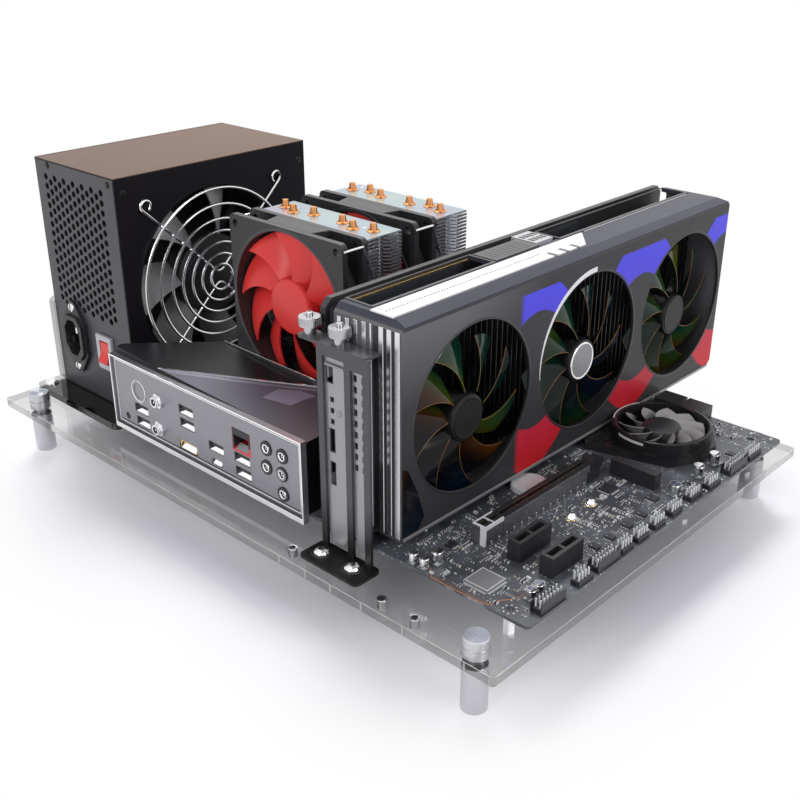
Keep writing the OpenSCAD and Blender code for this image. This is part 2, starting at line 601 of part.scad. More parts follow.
module slot_bracket() color([0.1, 0.1, 0.1]) place() {
  difference() {
    translate([279.4, 6.2, top]) rounded(41, 18, 1.6, 3);
    for (p = dome_at) translate([p[0], p[1], top - 1]) cylinder(d = 3.6, h = 4, $fn = 16);
  }
  translate([0, 21.6, 0]) rotate([90, 0, 0]) linear_extrude(1.6) difference() {
    translate([283, top]) square([34.4, 113]);
    translate([286.8, top + 3]) square([14.5, 104.6]);
    translate([305.2, top + 3]) square([8.1, 102]);
  }
  translate([269.7, 20, top + 112]) rounded(45.6, 9.8, 1.6, 1.5);
}

module thumb_screws() color([0.82, 0.82, 0.84]) place() for (x = [274.5, 294.8])
  translate([x, 24.4, top + 113.6]) {
    cylinder(d = 6, h = 4.4, $fn = 16);
    translate([0, 0, 4.4]) cylinder(d = 10.6, h = 4.4, $fn = 24);
    translate([0, 0, 8.8]) cylinder(d = 3.6, h = 1.8, $fn = 16);
  }

base_plate();
foot_posts();
foot_caps();
plate_inserts();
board_standoffs();
psu_bracket();
dome_screws();
psu_chassis();
psu_cover();
psu_fan_frame();
psu_rotor();
psu_grille();
psu_inlet();
psu_inlet_pins();
switch_bezel();
switch_rocker();
motherboard();
io_shield();
io_cover();
usb_ports();
network_port();
display_port();
audio_jacks();
antenna_sockets();
keyboard_port();
cpu_socket();
memory_slots();
sata_ports();
board_power_socket();
main_slot();
second_slot();
slot_latch();
short_slots();
chipset_cover();
chipset_rotor();
pin_headers();
can_capacitors();
edge_connector();
m2_posts();
cooler_base();
heat_pipes();
fins_front();
fins_rear();
fan_frame_front();
rotor_front();
fan_frame_rear();
rotor_rear();
fan_clips();
card_board();
card_backplate();
card_shroud();
card_heatsink();
card_top_strip();
card_power_socket();
card_rotor_1();
card_rotor_2();
card_rotor_3();
card_plate();
slot_bracket();
thumb_screws();
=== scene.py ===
import bpy
import bmesh
import json
import math
import random
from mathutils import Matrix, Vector


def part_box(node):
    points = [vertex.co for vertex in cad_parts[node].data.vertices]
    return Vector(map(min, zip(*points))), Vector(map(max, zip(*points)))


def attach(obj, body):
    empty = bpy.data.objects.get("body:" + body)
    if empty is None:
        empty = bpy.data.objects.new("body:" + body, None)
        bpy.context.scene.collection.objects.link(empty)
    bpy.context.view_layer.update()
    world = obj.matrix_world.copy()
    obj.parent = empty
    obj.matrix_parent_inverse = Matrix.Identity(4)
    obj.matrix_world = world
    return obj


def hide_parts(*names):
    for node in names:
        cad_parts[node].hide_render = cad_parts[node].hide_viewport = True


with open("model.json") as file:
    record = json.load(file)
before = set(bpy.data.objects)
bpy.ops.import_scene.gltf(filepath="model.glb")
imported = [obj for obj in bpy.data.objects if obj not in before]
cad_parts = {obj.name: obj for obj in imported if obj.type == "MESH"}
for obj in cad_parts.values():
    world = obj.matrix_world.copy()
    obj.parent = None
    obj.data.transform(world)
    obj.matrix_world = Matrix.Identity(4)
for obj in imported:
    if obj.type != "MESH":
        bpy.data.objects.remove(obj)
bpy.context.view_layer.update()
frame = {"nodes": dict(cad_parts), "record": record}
NODE = frame["nodes"]
rng = random.Random(7)

# -------- places
# Everything is laid out in the work frame of part.scad, in mm: the origin is on the floor under
# the plate's near left corner, X runs along the near edge, Y away from it and Z up.
MM = 0.001
SHIFT = Vector((-205, -163.8, 0))
PLATE = 30  # top of the acrylic plate
BOARD = 42  # top of the board
FEET = ((27.5, 9.5), (393.5, 8), (27.5, 268), (393.5, 268))
INSERTS = ((271.8, 9.4), (335.4, 8.9), (356.6, 8.6))
HOLES = [(x, y) for x in (112.5, 236.9, 394.4) for y in (30.4, 185.3, 257.7)]
M2_POSTS = ((367.3, 132.9), (368.2, 114.2))
PSU_NEAR, PSU_FACE, PSU_TOP = 38.4, 96.6, 184.5  # near end, fan side and lid
PSU_AXIS = (107.5, 110.5)  # Y and Z of its fan
COOLER_X, COOLER_Z, FIN_TOP = 205, 126, 168.6
CARD_FACE, CARD_TOP, CARD_END = 328.4, 160, 30  # fan side, upper edge and near end
CARD_BACK = 276
CARD_FANS, HOLE_Z, HUB_Z = (82.6, 181.4, 280.2), 102.5, 95
CHIPSET_FAN = (357.5, 219)
SLOT_X = 346.7  # left side of the free long slot


def P(x, y, z):
    """A point of the work frame, in mm, as a row frame point in metres."""
    return (Vector((x, y, z)) + SHIFT) * MM


# -------- camera, as solved from the photo
SENSOR, PICTURE_PX, FOCAL_PX = 36, 800, 1087.29
scene = bpy.context.scene
scene.view_settings.view_transform = "Standard"
cam_data = bpy.data.cameras.new("camera")
cam = bpy.data.objects.new("camera", cam_data)
scene.collection.objects.link(cam)
scene.camera = cam
cam.location = P(631.92, -294.54, 333.92)
cam.rotation_euler = (math.radians(90 - 25.258), 0, math.radians(43.183))
cam_data.sensor_width = SENSOR
cam_data.lens = FOCAL_PX / PICTURE_PX * SENSOR
cam_data.clip_start = 0.01
cam_data.clip_end = 20


class Nodes:
    """A short way to build the nodes of one material or world."""

    def __init__(self, holder):
        holder.use_nodes = True
        self.holder = holder
        self.tree = holder.node_tree
        self.tree.nodes.clear()

    def __call__(self, kind, links=None, **values):
        """Adds a node. links gives its inputs a socket, a node's first output or a constant."""
        node = self.tree.nodes.new("ShaderNode" + kind)
        for k, v in values.items():
            setattr(node, k, v)
        for k, v in (links or {}).items():
            socket = node.inputs[k]
            if isinstance(v, bpy.types.Node):
                v = v.outputs[0]
            if isinstance(v, bpy.types.NodeSocket):
                self.tree.links.new(v, socket)
            else:
                socket.default_value = (*v, 1) if socket.type == "RGBA" else v
        return node

    def math(self, op, a, b=0, c=0):
        return self("Math", {0: a, 1: b, 2: c}, operation=op).outputs[0]

    def times(self, first, *more):
        for v in more:
            first = self.math("MULTIPLY", first, v)
        return first

    def mix(self, fac, a, b):
        return self("Mix", {"Factor": fac, "A": a, "B": b}, data_type="RGBA").outputs["Result"]

    def noise(self, vector, scale, detail=2):
        links = {"Vector": vector, "Scale": scale, "Detail": detail}
        return self("TexNoise", links).outputs["Fac"]

    def span(self, value, lo, hi, a=0, b=1, ease="LINEAR"):
        """Maps lo to hi on to a to b, and holds it past both ends."""
        links = {"Value": value, "From Min": lo, "From Max": hi, "To Min": a, "To Max": b}
        return self("MapRange", links, interpolation_type=ease).outputs["Result"]

    def ramp(self, fac, stops):
        node = self("ValToRGB", {"Fac": fac})
        marks = node.color_ramp.elements
        for mark, (pos, c) in ((marks[0], stops[0]), (marks[1], stops[-1])):
            mark.position, mark.color = pos, (*c, 1)
        for pos, c in stops[1:-1]:
            marks.new(pos).color = (*c, 1)
        return node.outputs["Color"]

    def grain(self, vector, scale, strength):
        """The normal of a fine grain."""
        links = {"Strength": strength, "Distance": 0.0003, "Height": self.noise(vector, scale)}
        return self("Bump", links).outputs["Normal"]

    def coord(self, kind="Object"):
        return self("TexCoord").outputs[kind]

    def axes(self):
        """Object coordinates, then x and z as they are and y from the plate's near edge, in m."""
        tc = self.coord()
        s = self("SeparateXYZ", {0: tc})
        return tc, s.outputs[0], self.math("SUBTRACT", s.outputs[1], SHIFT.y * MM), s.outputs[2]

    def normal(self):
        return self("SeparateXYZ", {0: self.coord("Normal")}).outputs

    def backdrop(self):
        """1 for the rays that show the backdrop: camera, glossy and transmission rays."""
        lp = self("LightPath").outputs
        a = self.math("MAXIMUM", lp["Is Camera Ray"], lp["Is Glossy Ray"])
        return self.math("MAXIMUM", a, lp["Is Transmission Ray"])

    def end(self, shader, kind="Material"):
        self("Output" + kind, {0: shader})
        return self.holder

    def principled(self, colour, rough, more):
        return self("BsdfPrincipled", {"Base Color": colour, "Roughness": rough, **more})

    def paint(self, colour, rough, more):
        """Ends a material in one Principled surface."""
        return self.end(self.principled(colour, rough, more))


def material(name):
    return Nodes(bpy.data.materials.new(name))


# -------- light and floor
world = bpy.data.worlds.new("studio")
scene.world = world
n = Nodes(world)
fill = n("Background", {"Color": (0.92, 0.93, 1), "Strength": 0.32})
seen = n("Background", {"Color": (1, 1, 1), "Strength": 1})
n.end(n("MixShader", {0: n.backdrop(), 1: fill, 2: seen}), "World")


def area(name, loc, target, size, power, color=(1, 1, 1)):
    d = bpy.data.lights.new(name, "AREA")
    d.shape = "DISK"
    d.size = size
    d.energy = power
    d.color = color
    o = bpy.data.objects.new(name, d)
    scene.collection.objects.link(o)
    o.location = loc
    o.rotation_mode = "QUATERNION"
    o.rotation_quaternion = (Vector(target) - Vector(loc)).to_track_quat("-Z", "Y")


area("key", (-0.9, 0.75, 2), (0, 0, 0.05), 1.1, 44, (1, 0.99, 0.97))
area("front", (0.3, -1.8, 1.1), (0, 0, 0.08), 1, 10)
area("side", (1.8, 0.1, 1), (0, 0, 0.1), 1, 10)

# the floor shows the soft shadow in an oval round the object and turns into pure white past it
HALF = 8  # half of its side, in m
floor_mesh = bpy.data.meshes.new("floor")
floor_mesh.from_pydata([(-HALF, -HALF, 0), (HALF, -HALF, 0), (HALF, HALF, 0), (-HALF, HALF, 0)],
                       [], [(0, 1, 2, 3)])
floor = bpy.data.objects.new("floor", floor_mesh)
scene.collection.objects.link(floor)
floor.location.z = -0.0003
n = material("floor_pale")
place = n("NewGeometry").outputs["Position"]
oval = n("VectorMath", {0: place, 1: (0.8, 1, 1)}, operation="MULTIPLY")
far = n("VectorMath", {0: oval}, operation="LENGTH").outputs["Value"]
glow = n.span(far, 0.15, 0.275, 0.05, 1, "SMOOTHSTEP")
floor_mesh.materials.append(n.end(n("MixShader", {
    0: n.times(n.backdrop(), glow), 1: n("BsdfDiffuse", {"Color": (0.90, 0.90, 0.955)}),
    2: n("Emission", {"Strength": 1})})))


# -------- materials
def surface(name, color, rough, metal, var, scale, bump=0, bump_scale=900, rough_var=0.08,
            color2=None, spec=0.5):
    """A procedural finish: broad colour change, roughness change and fine grain."""
    n = material(name)
    tc = n.coord()
    dark = tuple(v * (1 - var) for v in color)
    light = color2 or tuple(min(1, v * (1 + var)) for v in color)
    rough = n.span(n.noise(tc, scale * 4.3, 3), 0, 1, rough - rough_var, rough + rough_var)
    more = {"Metallic": metal, "Specular IOR Level": spec}
    if bump > 0:
        more["Normal"] = n.grain(tc, bump_scale, bump)
    return n.paint(n.mix(n.noise(tc, scale, 4), dark, light), rough, more)


def clear_plastic():
    """Clear acrylic: a tinted window under a mirror-like coat, with painted shade that darkens
    its side faces, that lets most light on to the floor."""
    n = material("acrylic_clear")
    tint, shade = (0.75, 0.745, 0.735), (0.70, 0.70, 0.735)
    window = n.mix(n.noise(n.coord(), 12), tuple(v * 0.97 for v in tint), tint)
    # painted shade: faces whose normal is level take a darker tint than the top and bottom
    face = n.span(n.math("ABSOLUTE", n.normal()[2]), 0.3, 0.7)
    solid = n.principled(n.mix(face, tuple(v * 0.55 for v in tint), window), 0, {
        "Transmission Weight": 1, "IOR": 1.03, "Coat Weight": 1, "Coat IOR": 1.6,
        "Coat Roughness": 0})
    shadow = n("LightPath").outputs["Is Shadow Ray"]
    return n.end(n("MixShader", {0: shadow, 1: solid, 2: n("BsdfTransparent", {"Color": shade})}))


def sheen_black():
    """Near-black gloss with a painted sheen, a rainbow reflection from green to orange to blue."""
    n = material("black_with_painted_sheen")
    # painted sheen: a rainbow in the base colour, strongest at grazing angles
    painted_sheen = n.ramp(n.noise(n.coord(), 11, 1), [
        (0.30, (0.006, 0.012, 0.03)), (0.40, (0.006, 0.07, 0.03)), (0.47, (0.07, 0.13, 0.006)),
        (0.53, (0.20, 0.06, 0.004)), (0.60, (0.010, 0.008, 0.008)), (0.70, (0.004, 0.03, 0.08))])
    facing = n("LayerWeight", {"Blend": 0.35}).outputs["Facing"]
    return n.paint(n.mix(facing, (0.004, 0.004, 0.006), painted_sheen), 0.12, {
        "Specular IOR Level": 0.2})


def shroud_print():
    """Satin grey shroud whose front carries two soft ribbons that fade from red to violet."""
    n = material("shroud_ribbons")
    tc, x, y, z = n.axes()
    ns = n.noise(tc, 45, 3)
    dark = n.mix(ns, (0.009, 0.0085, 0.0095), (0.014, 0.013, 0.015))
    # painted light: the front grows lighter towards its upper near corner
    pale = n.times(n.span(z, 0.105, 0.155), n.span(y, 0.165, 0.07))
    base = n.mix(n.math("MAXIMUM", pale, n.span(x, 0.1236, 0.1228)), dark, (0.155, 0.15, 0.158))
    base = n.mix(n.span(z, 0.157, 0.1575), base, (0.058, 0.060, 0.080))
    tint = n.ramp(n.span(z, 0.055, 0.155), [
        (0, (0.66, 0.02, 0.03)), (0.34, (0.55, 0.03, 0.08)), (0.55, (0.30, 0.05, 0.36)),
        (0.8, (0.10, 0.075, 0.80)), (1, (0.09, 0.085, 0.86))])
    # two opposite waves, each as long as two fan pitches, that cross between the fans
    wave = n.math("COSINE", n.times(n.math("SUBTRACT", y, 0.132), 2 * math.pi / 0.1976))
    ribbons = []
    for sign, half in ((-1, 0.013), (1, 0.009)):
        middle = n.math("MULTIPLY_ADD", wave, 0.044 * sign, 0.104)
        off = n.math("ABSOLUTE", n.math("SUBTRACT", z, middle))
        ribbons.append(n.span(off, half + 0.0004, half - 0.0004))
    mask = n.times(n.math("MAXIMUM", *ribbons), n.span(x, 0.1225, 0.1229),
                   n.span(y, 0.1165, 0.1205), n.span(z, 0.1508, 0.1502))
    return n.paint(n.mix(mask, base, tint), n.span(ns, 0, 1, 0.24, 0.36), {
        "Specular IOR Level": 0.13, "Normal": n.grain(tc, 2200, 0.06)})


def board_mask():
    """Dark solder mask with fine copper runs and vias."""
    n = material("board_runs")
    tc = n.coord()
    ns = n.noise(tc, 30, 5)
    lines = []
    for angle in (0, 0.785, 1.571):
        turned = n("Mapping", {"Vector": tc, "Rotation": (0, 0, angle)})
        wave = n("TexWave", {"Vector": turned, "Scale": 300, "Distortion": 0})
        lines.append(n.span(wave.outputs["Fac"], 0.82, 0.95))
    # each region of a slow noise has the lines of one direction
    region = n.noise(tc, 16, 0)
    runs = lines[0]
    for edge, others in ((0.50, lines[2]), (0.585, lines[1])):
        pick = n.span(region, edge, edge + 0.002)
        runs = n.math("ADD", n.times(runs, n.math("SUBTRACT", 1, pick)), n.times(others, pick))
    where = n.noise(tc, 42, 1)
    col = n.mix(ns, (0.05, 0.054, 0.064), (0.10, 0.106, 0.12))
    col = n.mix(n.times(runs, n.span(where, 0.47, 0.52)), col, (0.24, 0.26, 0.30))
    dots = n("TexVoronoi", {"Vector": tc, "Scale": 420, "Randomness": 0.9}).outputs["Distance"]
    vias = n.times(n.span(dots, 0.22, 0.16), n.span(where, 0.50, 0.55))
    return n.paint(n.mix(vias, col, (0.62, 0.63, 0.62)), n.span(ns, 0, 1, 0.26, 0.44), {})


def lid_with_painted_reflection():
    """The power supply's lid: a dark coat, its upper face a painted reflection in warm brown."""
    n = material("steel_lid")
    tc, _, y, z = n.axes()
    ns = n.noise(tc, 9, 3)
    # painted reflection: the upper face is warm brown, lighter towards the far end
    lid = n.mix(n.span(y, 0.0385, 0.1885), (0.15, 0.094, 0.070), (0.185, 0.112, 0.078))
    lid = n.mix(n.times(ns, 0.35), lid, (0.13, 0.088, 0.070))
    sides = n.mix(ns, (0.010, 0.0095, 0.012), (0.020, 0.017, 0.020))
    return n.paint(n.mix(n.span(z, 0.1838, 0.1843), sides, lid), n.span(ns, 0, 1, 0.28, 0.42), {
        "Specular IOR Level": 0.08, "Normal": n.grain(tc, 2400, 0.07)})


def fin_top():
    """Bright fin sheet with a faint blue to teal tint that drifts across it."""
    n = material("fin_top")
    ns = n.noise(n.coord(), 22)
    col = n.ramp(ns, [(0.35, (0.40, 0.39, 0.49)), (0.5, (0.35, 0.43, 0.47)),
                      (0.65, (0.39, 0.46, 0.43))])
    return n.paint(col, n.span(ns, 0, 1, 0.22, 0.38), {"Metallic": 0.75})


def cover_paint():
    """Anthracite port cover: painted light on its front facet, painted shade at its right end."""
    n = material("cover_paint")
    tc, x, _, _ = n.axes()
    ns = n.noise(tc, 24, 3)
    nx, ny, nz = n.normal()
    tilt = n.math("SUBTRACT", n.times(nx, 0.469), n.times(ny, 0.883))
    # painted light: the front facet is a lilac grey, lighter towards the left
    lit = n.mix(n.span(x, -0.03, 0.05), (0.19, 0.19, 0.235), (0.088, 0.085, 0.10))
    dark = n.mix(ns, (0.018, 0.017, 0.019), (0.026, 0.025, 0.028))
    col = n.mix(n.times(n.span(tilt, 0.085, 0.075), n.span(nz, 0.5, 0.6)), dark, lit)
    # painted shade: the faces that look along +X at the right end turn near black
    col = n.mix(n.times(n.span(nx, 0.9, 0.95), n.span(x, 0.052, 0.053)), col,
                (0.006, 0.006, 0.007))
    return n.paint(col, n.span(ns, 0, 1, 0.26, 0.36), {"Specular IOR Level": 0.22})


def bracket_paint():
    """Black sheet steel; painted light makes its upright mid grey, black near the foot."""
    n = material("bracket_paint")
    tc, _, _, z = n.axes()
    ns = n.noise(tc, 50, 3)
    wall = n.mix(ns, (0.075, 0.075, 0.082), (0.10, 0.10, 0.108))
    # painted light: the upright is mid grey above 66 mm and black below 46 mm
    col = n.mix(n.span(z, 0.046, 0.066), (0.013, 0.0125, 0.013), wall)
    return n.paint(col, n.span(ns, 0, 1, 0.3, 0.42), {"Specular IOR Level": 0.3})


def foot_metal():
    """Turned aluminium with a painted reflection: the faces that look up are darker and bluer."""
    n = material("foot_metal")
    ns = n.noise(n.coord(), 120, 3)
    wall = n.mix(ns, (0.56, 0.56, 0.59), (0.64, 0.64, 0.67))
    # painted reflection: faces whose normal points up take a darker blue grey
    col = n.mix(n.span(n.normal()[2], 0.85, 0.95), wall, (0.27, 0.285, 0.35))
    return n.paint(col, n.span(ns, 0, 1, 0.28, 0.38), {"Metallic": 0.9})


# colour, roughness, metal, colour change and its scale, then grain, its scale, roughness change,
# the lighter colour and the specular level where they differ from plain
FINISHES = {
    "satin_aluminium": ((0.40, 0.415, 0.42), 0.36, 1, 0.06, 120, 0.05),
    # bright metal, and the painted highlight lines on the port cover
    "bright_metal": ((0.86, 0.86, 0.88), 0.16, 1, 0.05, 200),
    "rim": ((0.97, 0.97, 0.98), 0.12, 1, 0.02, 80),
    "bar_silver": ((0.74, 0.74, 0.76), 0.24, 1, 0.05, 90, 0.03),
    "screw_metal": ((0.50, 0.50, 0.52), 0.26, 1, 0.06, 150),
    "fin_aluminium": ((0.66, 0.67, 0.71), 0.3, 1, 0.06, 90, 0.04),
    "gold": ((0.82, 0.6, 0.28), 0.25, 1, 0.06, 120),
    "copper": ((0.72, 0.33, 0.13), 0.25, 1, 0.08, 120),
    "shield_metal": ((0.31, 0.31, 0.335), 0.34, 0.6, 0.05, 60, 0.05, 1400),
    "plate_metal": ((0.36, 0.36, 0.375), 0.34, 0.6, 0.05, 60, 0.04, 1400),
    "pale_grey": ((0.3, 0.3, 0.31), 0.34, 0.3, 0.08, 60, 0.05, 1500),
    "black_steel": ((0.03, 0.03, 0.033), 0.36, 0, 0.15, 40, 0.12, 2500),
    "psu_grey": ((0.052, 0.052, 0.058), 0.38, 0, 0.12, 30, 0.12, 2500),
    "black_plastic": ((0.022, 0.022, 0.025), 0.42, 0, 0.2, 90, 0.06, 1800),
    "gloss_black": ((0.018, 0.017, 0.019), 0.22, 0, 0.2, 60, 0.03, 1500, 0.05,
                    None, 0.3),
    "hub_black": ((0.012, 0.012, 0.013), 0.34, 0, 0.15, 60, 0.03, 1800, 0.06,
                  None, 0.2),
    "shroud_black": ((0.07, 0.068, 0.074), 0.36, 0, 0.1, 50, 0.05, 2000),
    "anthracite": ((0.04, 0.038, 0.042), 0.33, 0, 0.12, 30, 0.05, 2200),
    # painted highlight for the patches on the port cover
    "lilac": ((0.30, 0.285, 0.38), 0.3, 0, 0.12, 25, 0.04, 2200),
    "speckled": ((0.05, 0.05, 0.055), 0.3, 0.5, 0.3, 700, 0, 900, 0.1,
                 (0.32, 0.32, 0.34)),
    # painted highlight for the lines on the card blades' leading edges
    "edge_line": ((0.16, 0.17, 0.02), 0.3, 0, 0.2, 60, 0, 900, 0.05,
                  (0.3, 0.06, 0.02)),
    "grey_plastic": ((0.36, 0.345, 0.35), 0.4, 0, 0.12, 60, 0.05, 1500),
    "red_plastic": ((0.86, 0.045, 0.04), 0.35, 0, 0.1, 40, 0.03, 1200),
    "light_plastic": ((0.55, 0.55, 0.57), 0.4, 0, 0.06, 80, 0.04),
    # white plastic parts, and the painted highlights on the card front and the fin tops
    "white_plastic": ((0.9, 0.9, 0.91), 0.3, 0, 0.03, 80),
    # white print and legs, and the painted glints on the plate's edges and the chipset rim
    "white_tick": ((0.75, 0.76, 0.76), 0.4, 0, 0.12, 300),
    "board": ((0.045, 0.05, 0.06), 0.36, 0, 0.25, 70, 0.1, 2600),
    "tan_part": ((0.28, 0.2, 0.12), 0.45, 0, 0.3, 500),
    "orange_run": ((0.55, 0.22, 0.07), 0.35, 0, 0.15, 150),
}
M = {name: surface("look_" + name, *look) for name, look in FINISHES.items()}
M.update({
    "clear_acrylic": clear_plastic(), "card_dark": sheen_black(), "print": shroud_print(),
    "board_runs": board_mask(), "lid": lid_with_painted_reflection(), "fin_top": fin_top(),
    "cover": cover_paint(), "bracket": bracket_paint(), "foot": foot_metal(),
})
# solids that show a finish of their own instead of the record's slot
PAINT = {
    "psu_chassis": "psu_grey", "psu_cover": "lid", "motherboard": "board_runs",
    "card_shroud": "print", "card_heatsink": "black_steel", "card_plate": "plate_metal",
    "thumb_screws": "screw_metal", "slot_bracket": "bracket", "foot_posts": "foot",
    "foot_caps": "foot", "io_cover": "cover", "second_slot": "black_plastic",
    "m2_posts": "bright_metal", "chipset_cover": "gloss_black",
}
SLOT = {s["node"]: s["material_slot"] for s in frame["record"]["subparts"]}
for name, o in NODE.items():
    o.data.materials.clear()
    o.data.materials.append(M[PAINT.get(name, SLOT[name])])


# -------- mesh builder
def inset(pts, c):
    """An outline, counter-clockwise, drawn in by c at every side."""
    k = len(pts)
    out = []
    for i in range(k):
        a, b, d = Vector(pts[i - 1]), Vector(pts[i]), Vector(pts[(i + 1) % k])
        e1, e2 = (b - a).normalized(), (d - b).normalized()
        n1, n2 = Vector((-e1.y, e1.x)), Vector((-e2.y, e2.x))
        s = n1 + n2
        s = s / max(0.3, s.dot(n1)) if s.length > 1e-6 else n1
        out.append((b.x + s.x * c, b.y + s.y * c))
    return out


def arc(cx, cy, r, degrees):
    """The points of an arc at the given angles."""
    return [(cx + r * math.cos(t), cy + r * math.sin(t)) for t in map(math.radians, degrees)]


def rect(x0, y0, x1, y1, r=0):
    """A rectangle, with corners of radius r."""
    if r <= 0:
        return [(x0, y0), (x1, y0), (x1, y1), (x0, y1)]
    corners = ((x1 - r, y0 + r, -90), (x1 - r, y1 - r, 0), (x0 + r, y1 - r, 90),
               (x0 + r, y0 + r, 180))
    return [p for cx, cy, a in corners for p in arc(cx, cy, r, (a, a + 30, a + 60, a + 90))]


def about(c, axis):
    """Puts a shape drawn in (u, v), with height w, round c so that w runs along the axis."""
    x, y, z = c
    return {"x": lambda u, v, w: (x + w, y + u, z + v),
            "-x": lambda u, v, w: (x - w, y + u, z + v),
            "-y": lambda u, v, w: (x + u, y - w, z + v),
            "z": lambda u, v, w: (x + u, y + v, z + w)}[axis]


def front(y):
    return about((0, y, 0), "-y")


class Build:
    """A mesh put together from lofted, turned and swept shapes, in work-frame mm."""

    def __init__(self):
        self.v, self.f, self.m = [], [], []

    def add(self, verts, faces, mat=0, at=None):
        k = len(self.v)
        self.v += [at(*p) if at else tuple(p) for p in verts]
        self.f += [tuple(i + k for i in f) for f in faces]
        self.m += [mat] * len(faces)

    def loft(self, rings, mat=0, at=None, closed=False):
        """A skin over rings of points, capped at both ends unless it closes on itself."""
        k, c = len(rings[0]), len(rings)
        faces = []
        for i in range(c if closed else c - 1):
            j = (i + 1) % c
            faces += [(i * k + s, i * k + (s + 1) % k, j * k + (s + 1) % k, j * k + s)
                      for s in range(k)]
        if not closed:
            faces += [tuple(range(k))[::-1], tuple((c - 1) * k + s for s in range(k))]
        self.add([p for r in rings for p in r], faces, mat, at)

    def prism(self, pts, z0, z1, mat=0, c=0, at=None):
        """An outline pushed from z0 to z1, its rim chamfered by c."""
        steps = [(pts, z0), (pts, z1)]
        if c > 0:
            small = inset(pts, c)
            steps = [(small, z0), (pts, z0 + c), (pts, z1 - c), (small, z1)]
        self.loft([[(x, y, z) for x, y in q] for q, z in steps], mat, at)

    def box(self, a, b, mat=0, c=0, at=None):
        self.prism(rect(a[0], a[1], b[0], b[1]), a[2], b[2], mat, c, at)

    def band(self, inner, outer, z0, z1, mat=0, at=None):
        """A strip between two lines of points, pushed from z0 to z1."""
        for i in range(len(inner) - 1):
            self.prism([inner[i], outer[i], outer[i + 1], inner[i + 1]], z0, z1, mat, 0, at)

    def frame(self, outer, inner, z0, z1, mat=0, c=0, at=None):
        """A flat ring between two outlines with the same number of points."""
        steps = ((outer, z0), (outer, z1 - c), (inset(outer, c), z1), (inset(inner, -c), z1),
                 (inner, z1 - c), (inner, z0))
        self.loft([[(x, y, z) for x, y in q] for q, z in steps], mat, at, True)

    def turn(self, prof, k=32, mat=0, at=None):
        """A profile of (radius, height) points turned about the axis."""
        verts = [(r * math.cos(2 * math.pi * i / k), r * math.sin(2 * math.pi * i / k), h)
                 for i in range(k) for r, h in prof]
        c = len(prof)
        faces = [(i * c + j, ((i + 1) % k) * c + j, ((i + 1) % k) * c + j + 1, i * c + j + 1)
                 for i in range(k) for j in range(c - 1)]
        self.add(verts, faces, mat, at)

    def tube(self, path, r, k=8, mat=0, closed=False, at=None):
        """A round wire of radius r along a path."""
        pts = [Vector(at(*p)) if at else Vector(p) for p in path]
        c = len(pts)
        rings, prev = [], None
        for i in range(c):
            a = pts[i - 1] if (closed or i > 0) else pts[i]
            b = pts[(i + 1) % c] if (closed or i < c - 1) else pts[i]
            d = (b - a).normalized()
            if prev is None:
                prev = d.orthogonal().normalized()
            prev = (prev - d * prev.dot(d)).normalized()
            q = d.cross(prev)
            rings.append([tuple(pts[i] + (prev * math.cos(t) + q * math.sin(t)) * r)
                          for t in (2 * math.pi * s / k for s in range(k))])
        self.loft(rings, mat, None, closed)

    def blades(self, at, count, reach, low, deep, wide, sweep, thick, drop, cuts=9, bend=1,
               start=0):
        """Curved fan blades: swept in plan, pitched and cambered along the axis."""
        for b in range(count):
            rings = []
            for i in range(cuts + 1):
                q = i / cuts
                r = reach[0] + (reach[1] - reach[0]) * q
                mid = start + 2 * math.pi * b / count + sweep * q ** bend
                wing = wide[0] + (wide[1] - wide[0]) * q
                rise = (deep - thick) * (1 - drop * q)
                foot = low + (deep - thick - rise) * 0.5
                top, bot = [], []
                for j in range(7):
                    u = j / 6
                    a = mid + (u - 0.5) * wing
                    w = foot + rise * (u + 0.12 * math.sin(math.pi * u))
                    w = min(w, low + deep - thick)
                    top.append((r * math.cos(a), r * math.sin(a), w + thick))
                    bot.append((r * math.cos(a), r * math.sin(a), w))
                rings.append(top + bot[::-1])
            self.loft(rings, 0, at)

    def make(self, name, mats, body="case", over=()):
        """Ends the mesh as one piece that rides a body and may stand for CAD nodes."""
        me = bpy.data.meshes.new(name)
        me.from_pydata([P(*p) for p in self.v], [], self.f)
        for m in mats.split():
            me.materials.append(M[m])
        me.polygons.foreach_set("material_index", self.m)
        bm = bmesh.new()
        bm.from_mesh(me)
        bmesh.ops.dissolve_degenerate(bm, dist=1e-7, edges=bm.edges)
        bmesh.ops.recalc_face_normals(bm, faces=bm.faces)
        bm.to_mesh(me)
        bm.free()
        me.polygons.foreach_set("use_smooth", [True] * len(me.polygons))
        me.set_sharp_from_angle(angle=math.radians(32))
        o = bpy.data.objects.new(name, me)
        scene.collection.objects.link(o)
        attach(o, body)
        if over:
            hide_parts(*over)


# -------- power supply
WIRE = 0.85
b = Build()
at = about((PSU_FACE, *PSU_AXIS), "x")
for r in (8.3, 15.2, 22.5, 29.8, 37.4, 46.5, 56.6):
    b.tube([(x, y, 2.9) for x, y in arc(0, 0, r, range(0, 360, 5))], WIRE, 8, 0, True, at)


def hook(sy, sz, vertex):
    """Half of a bent guard wire: from the middle out to an open hook round the screw hole."""
    reach, bend = 52.4, 3.4
    end = Vector((sy * reach, sz * reach))
    start = Vector((sy * 3, vertex + sz * 1.2))
    d = (end - start).normalized()
    turn = 1 if sy * sz > 0 else -1
    nrm = Vector((-d.y, d.x)) * turn
    c = end + nrm * bend
    pts = [start + (end - start) * k / 6 for k in range(7)]
    a0 = math.degrees(math.atan2(-nrm.y, -nrm.x))
    return pts + list(map(Vector, arc(c.x, c.y, bend, (a0 + turn * 20 * k for k in range(1, 15)))))


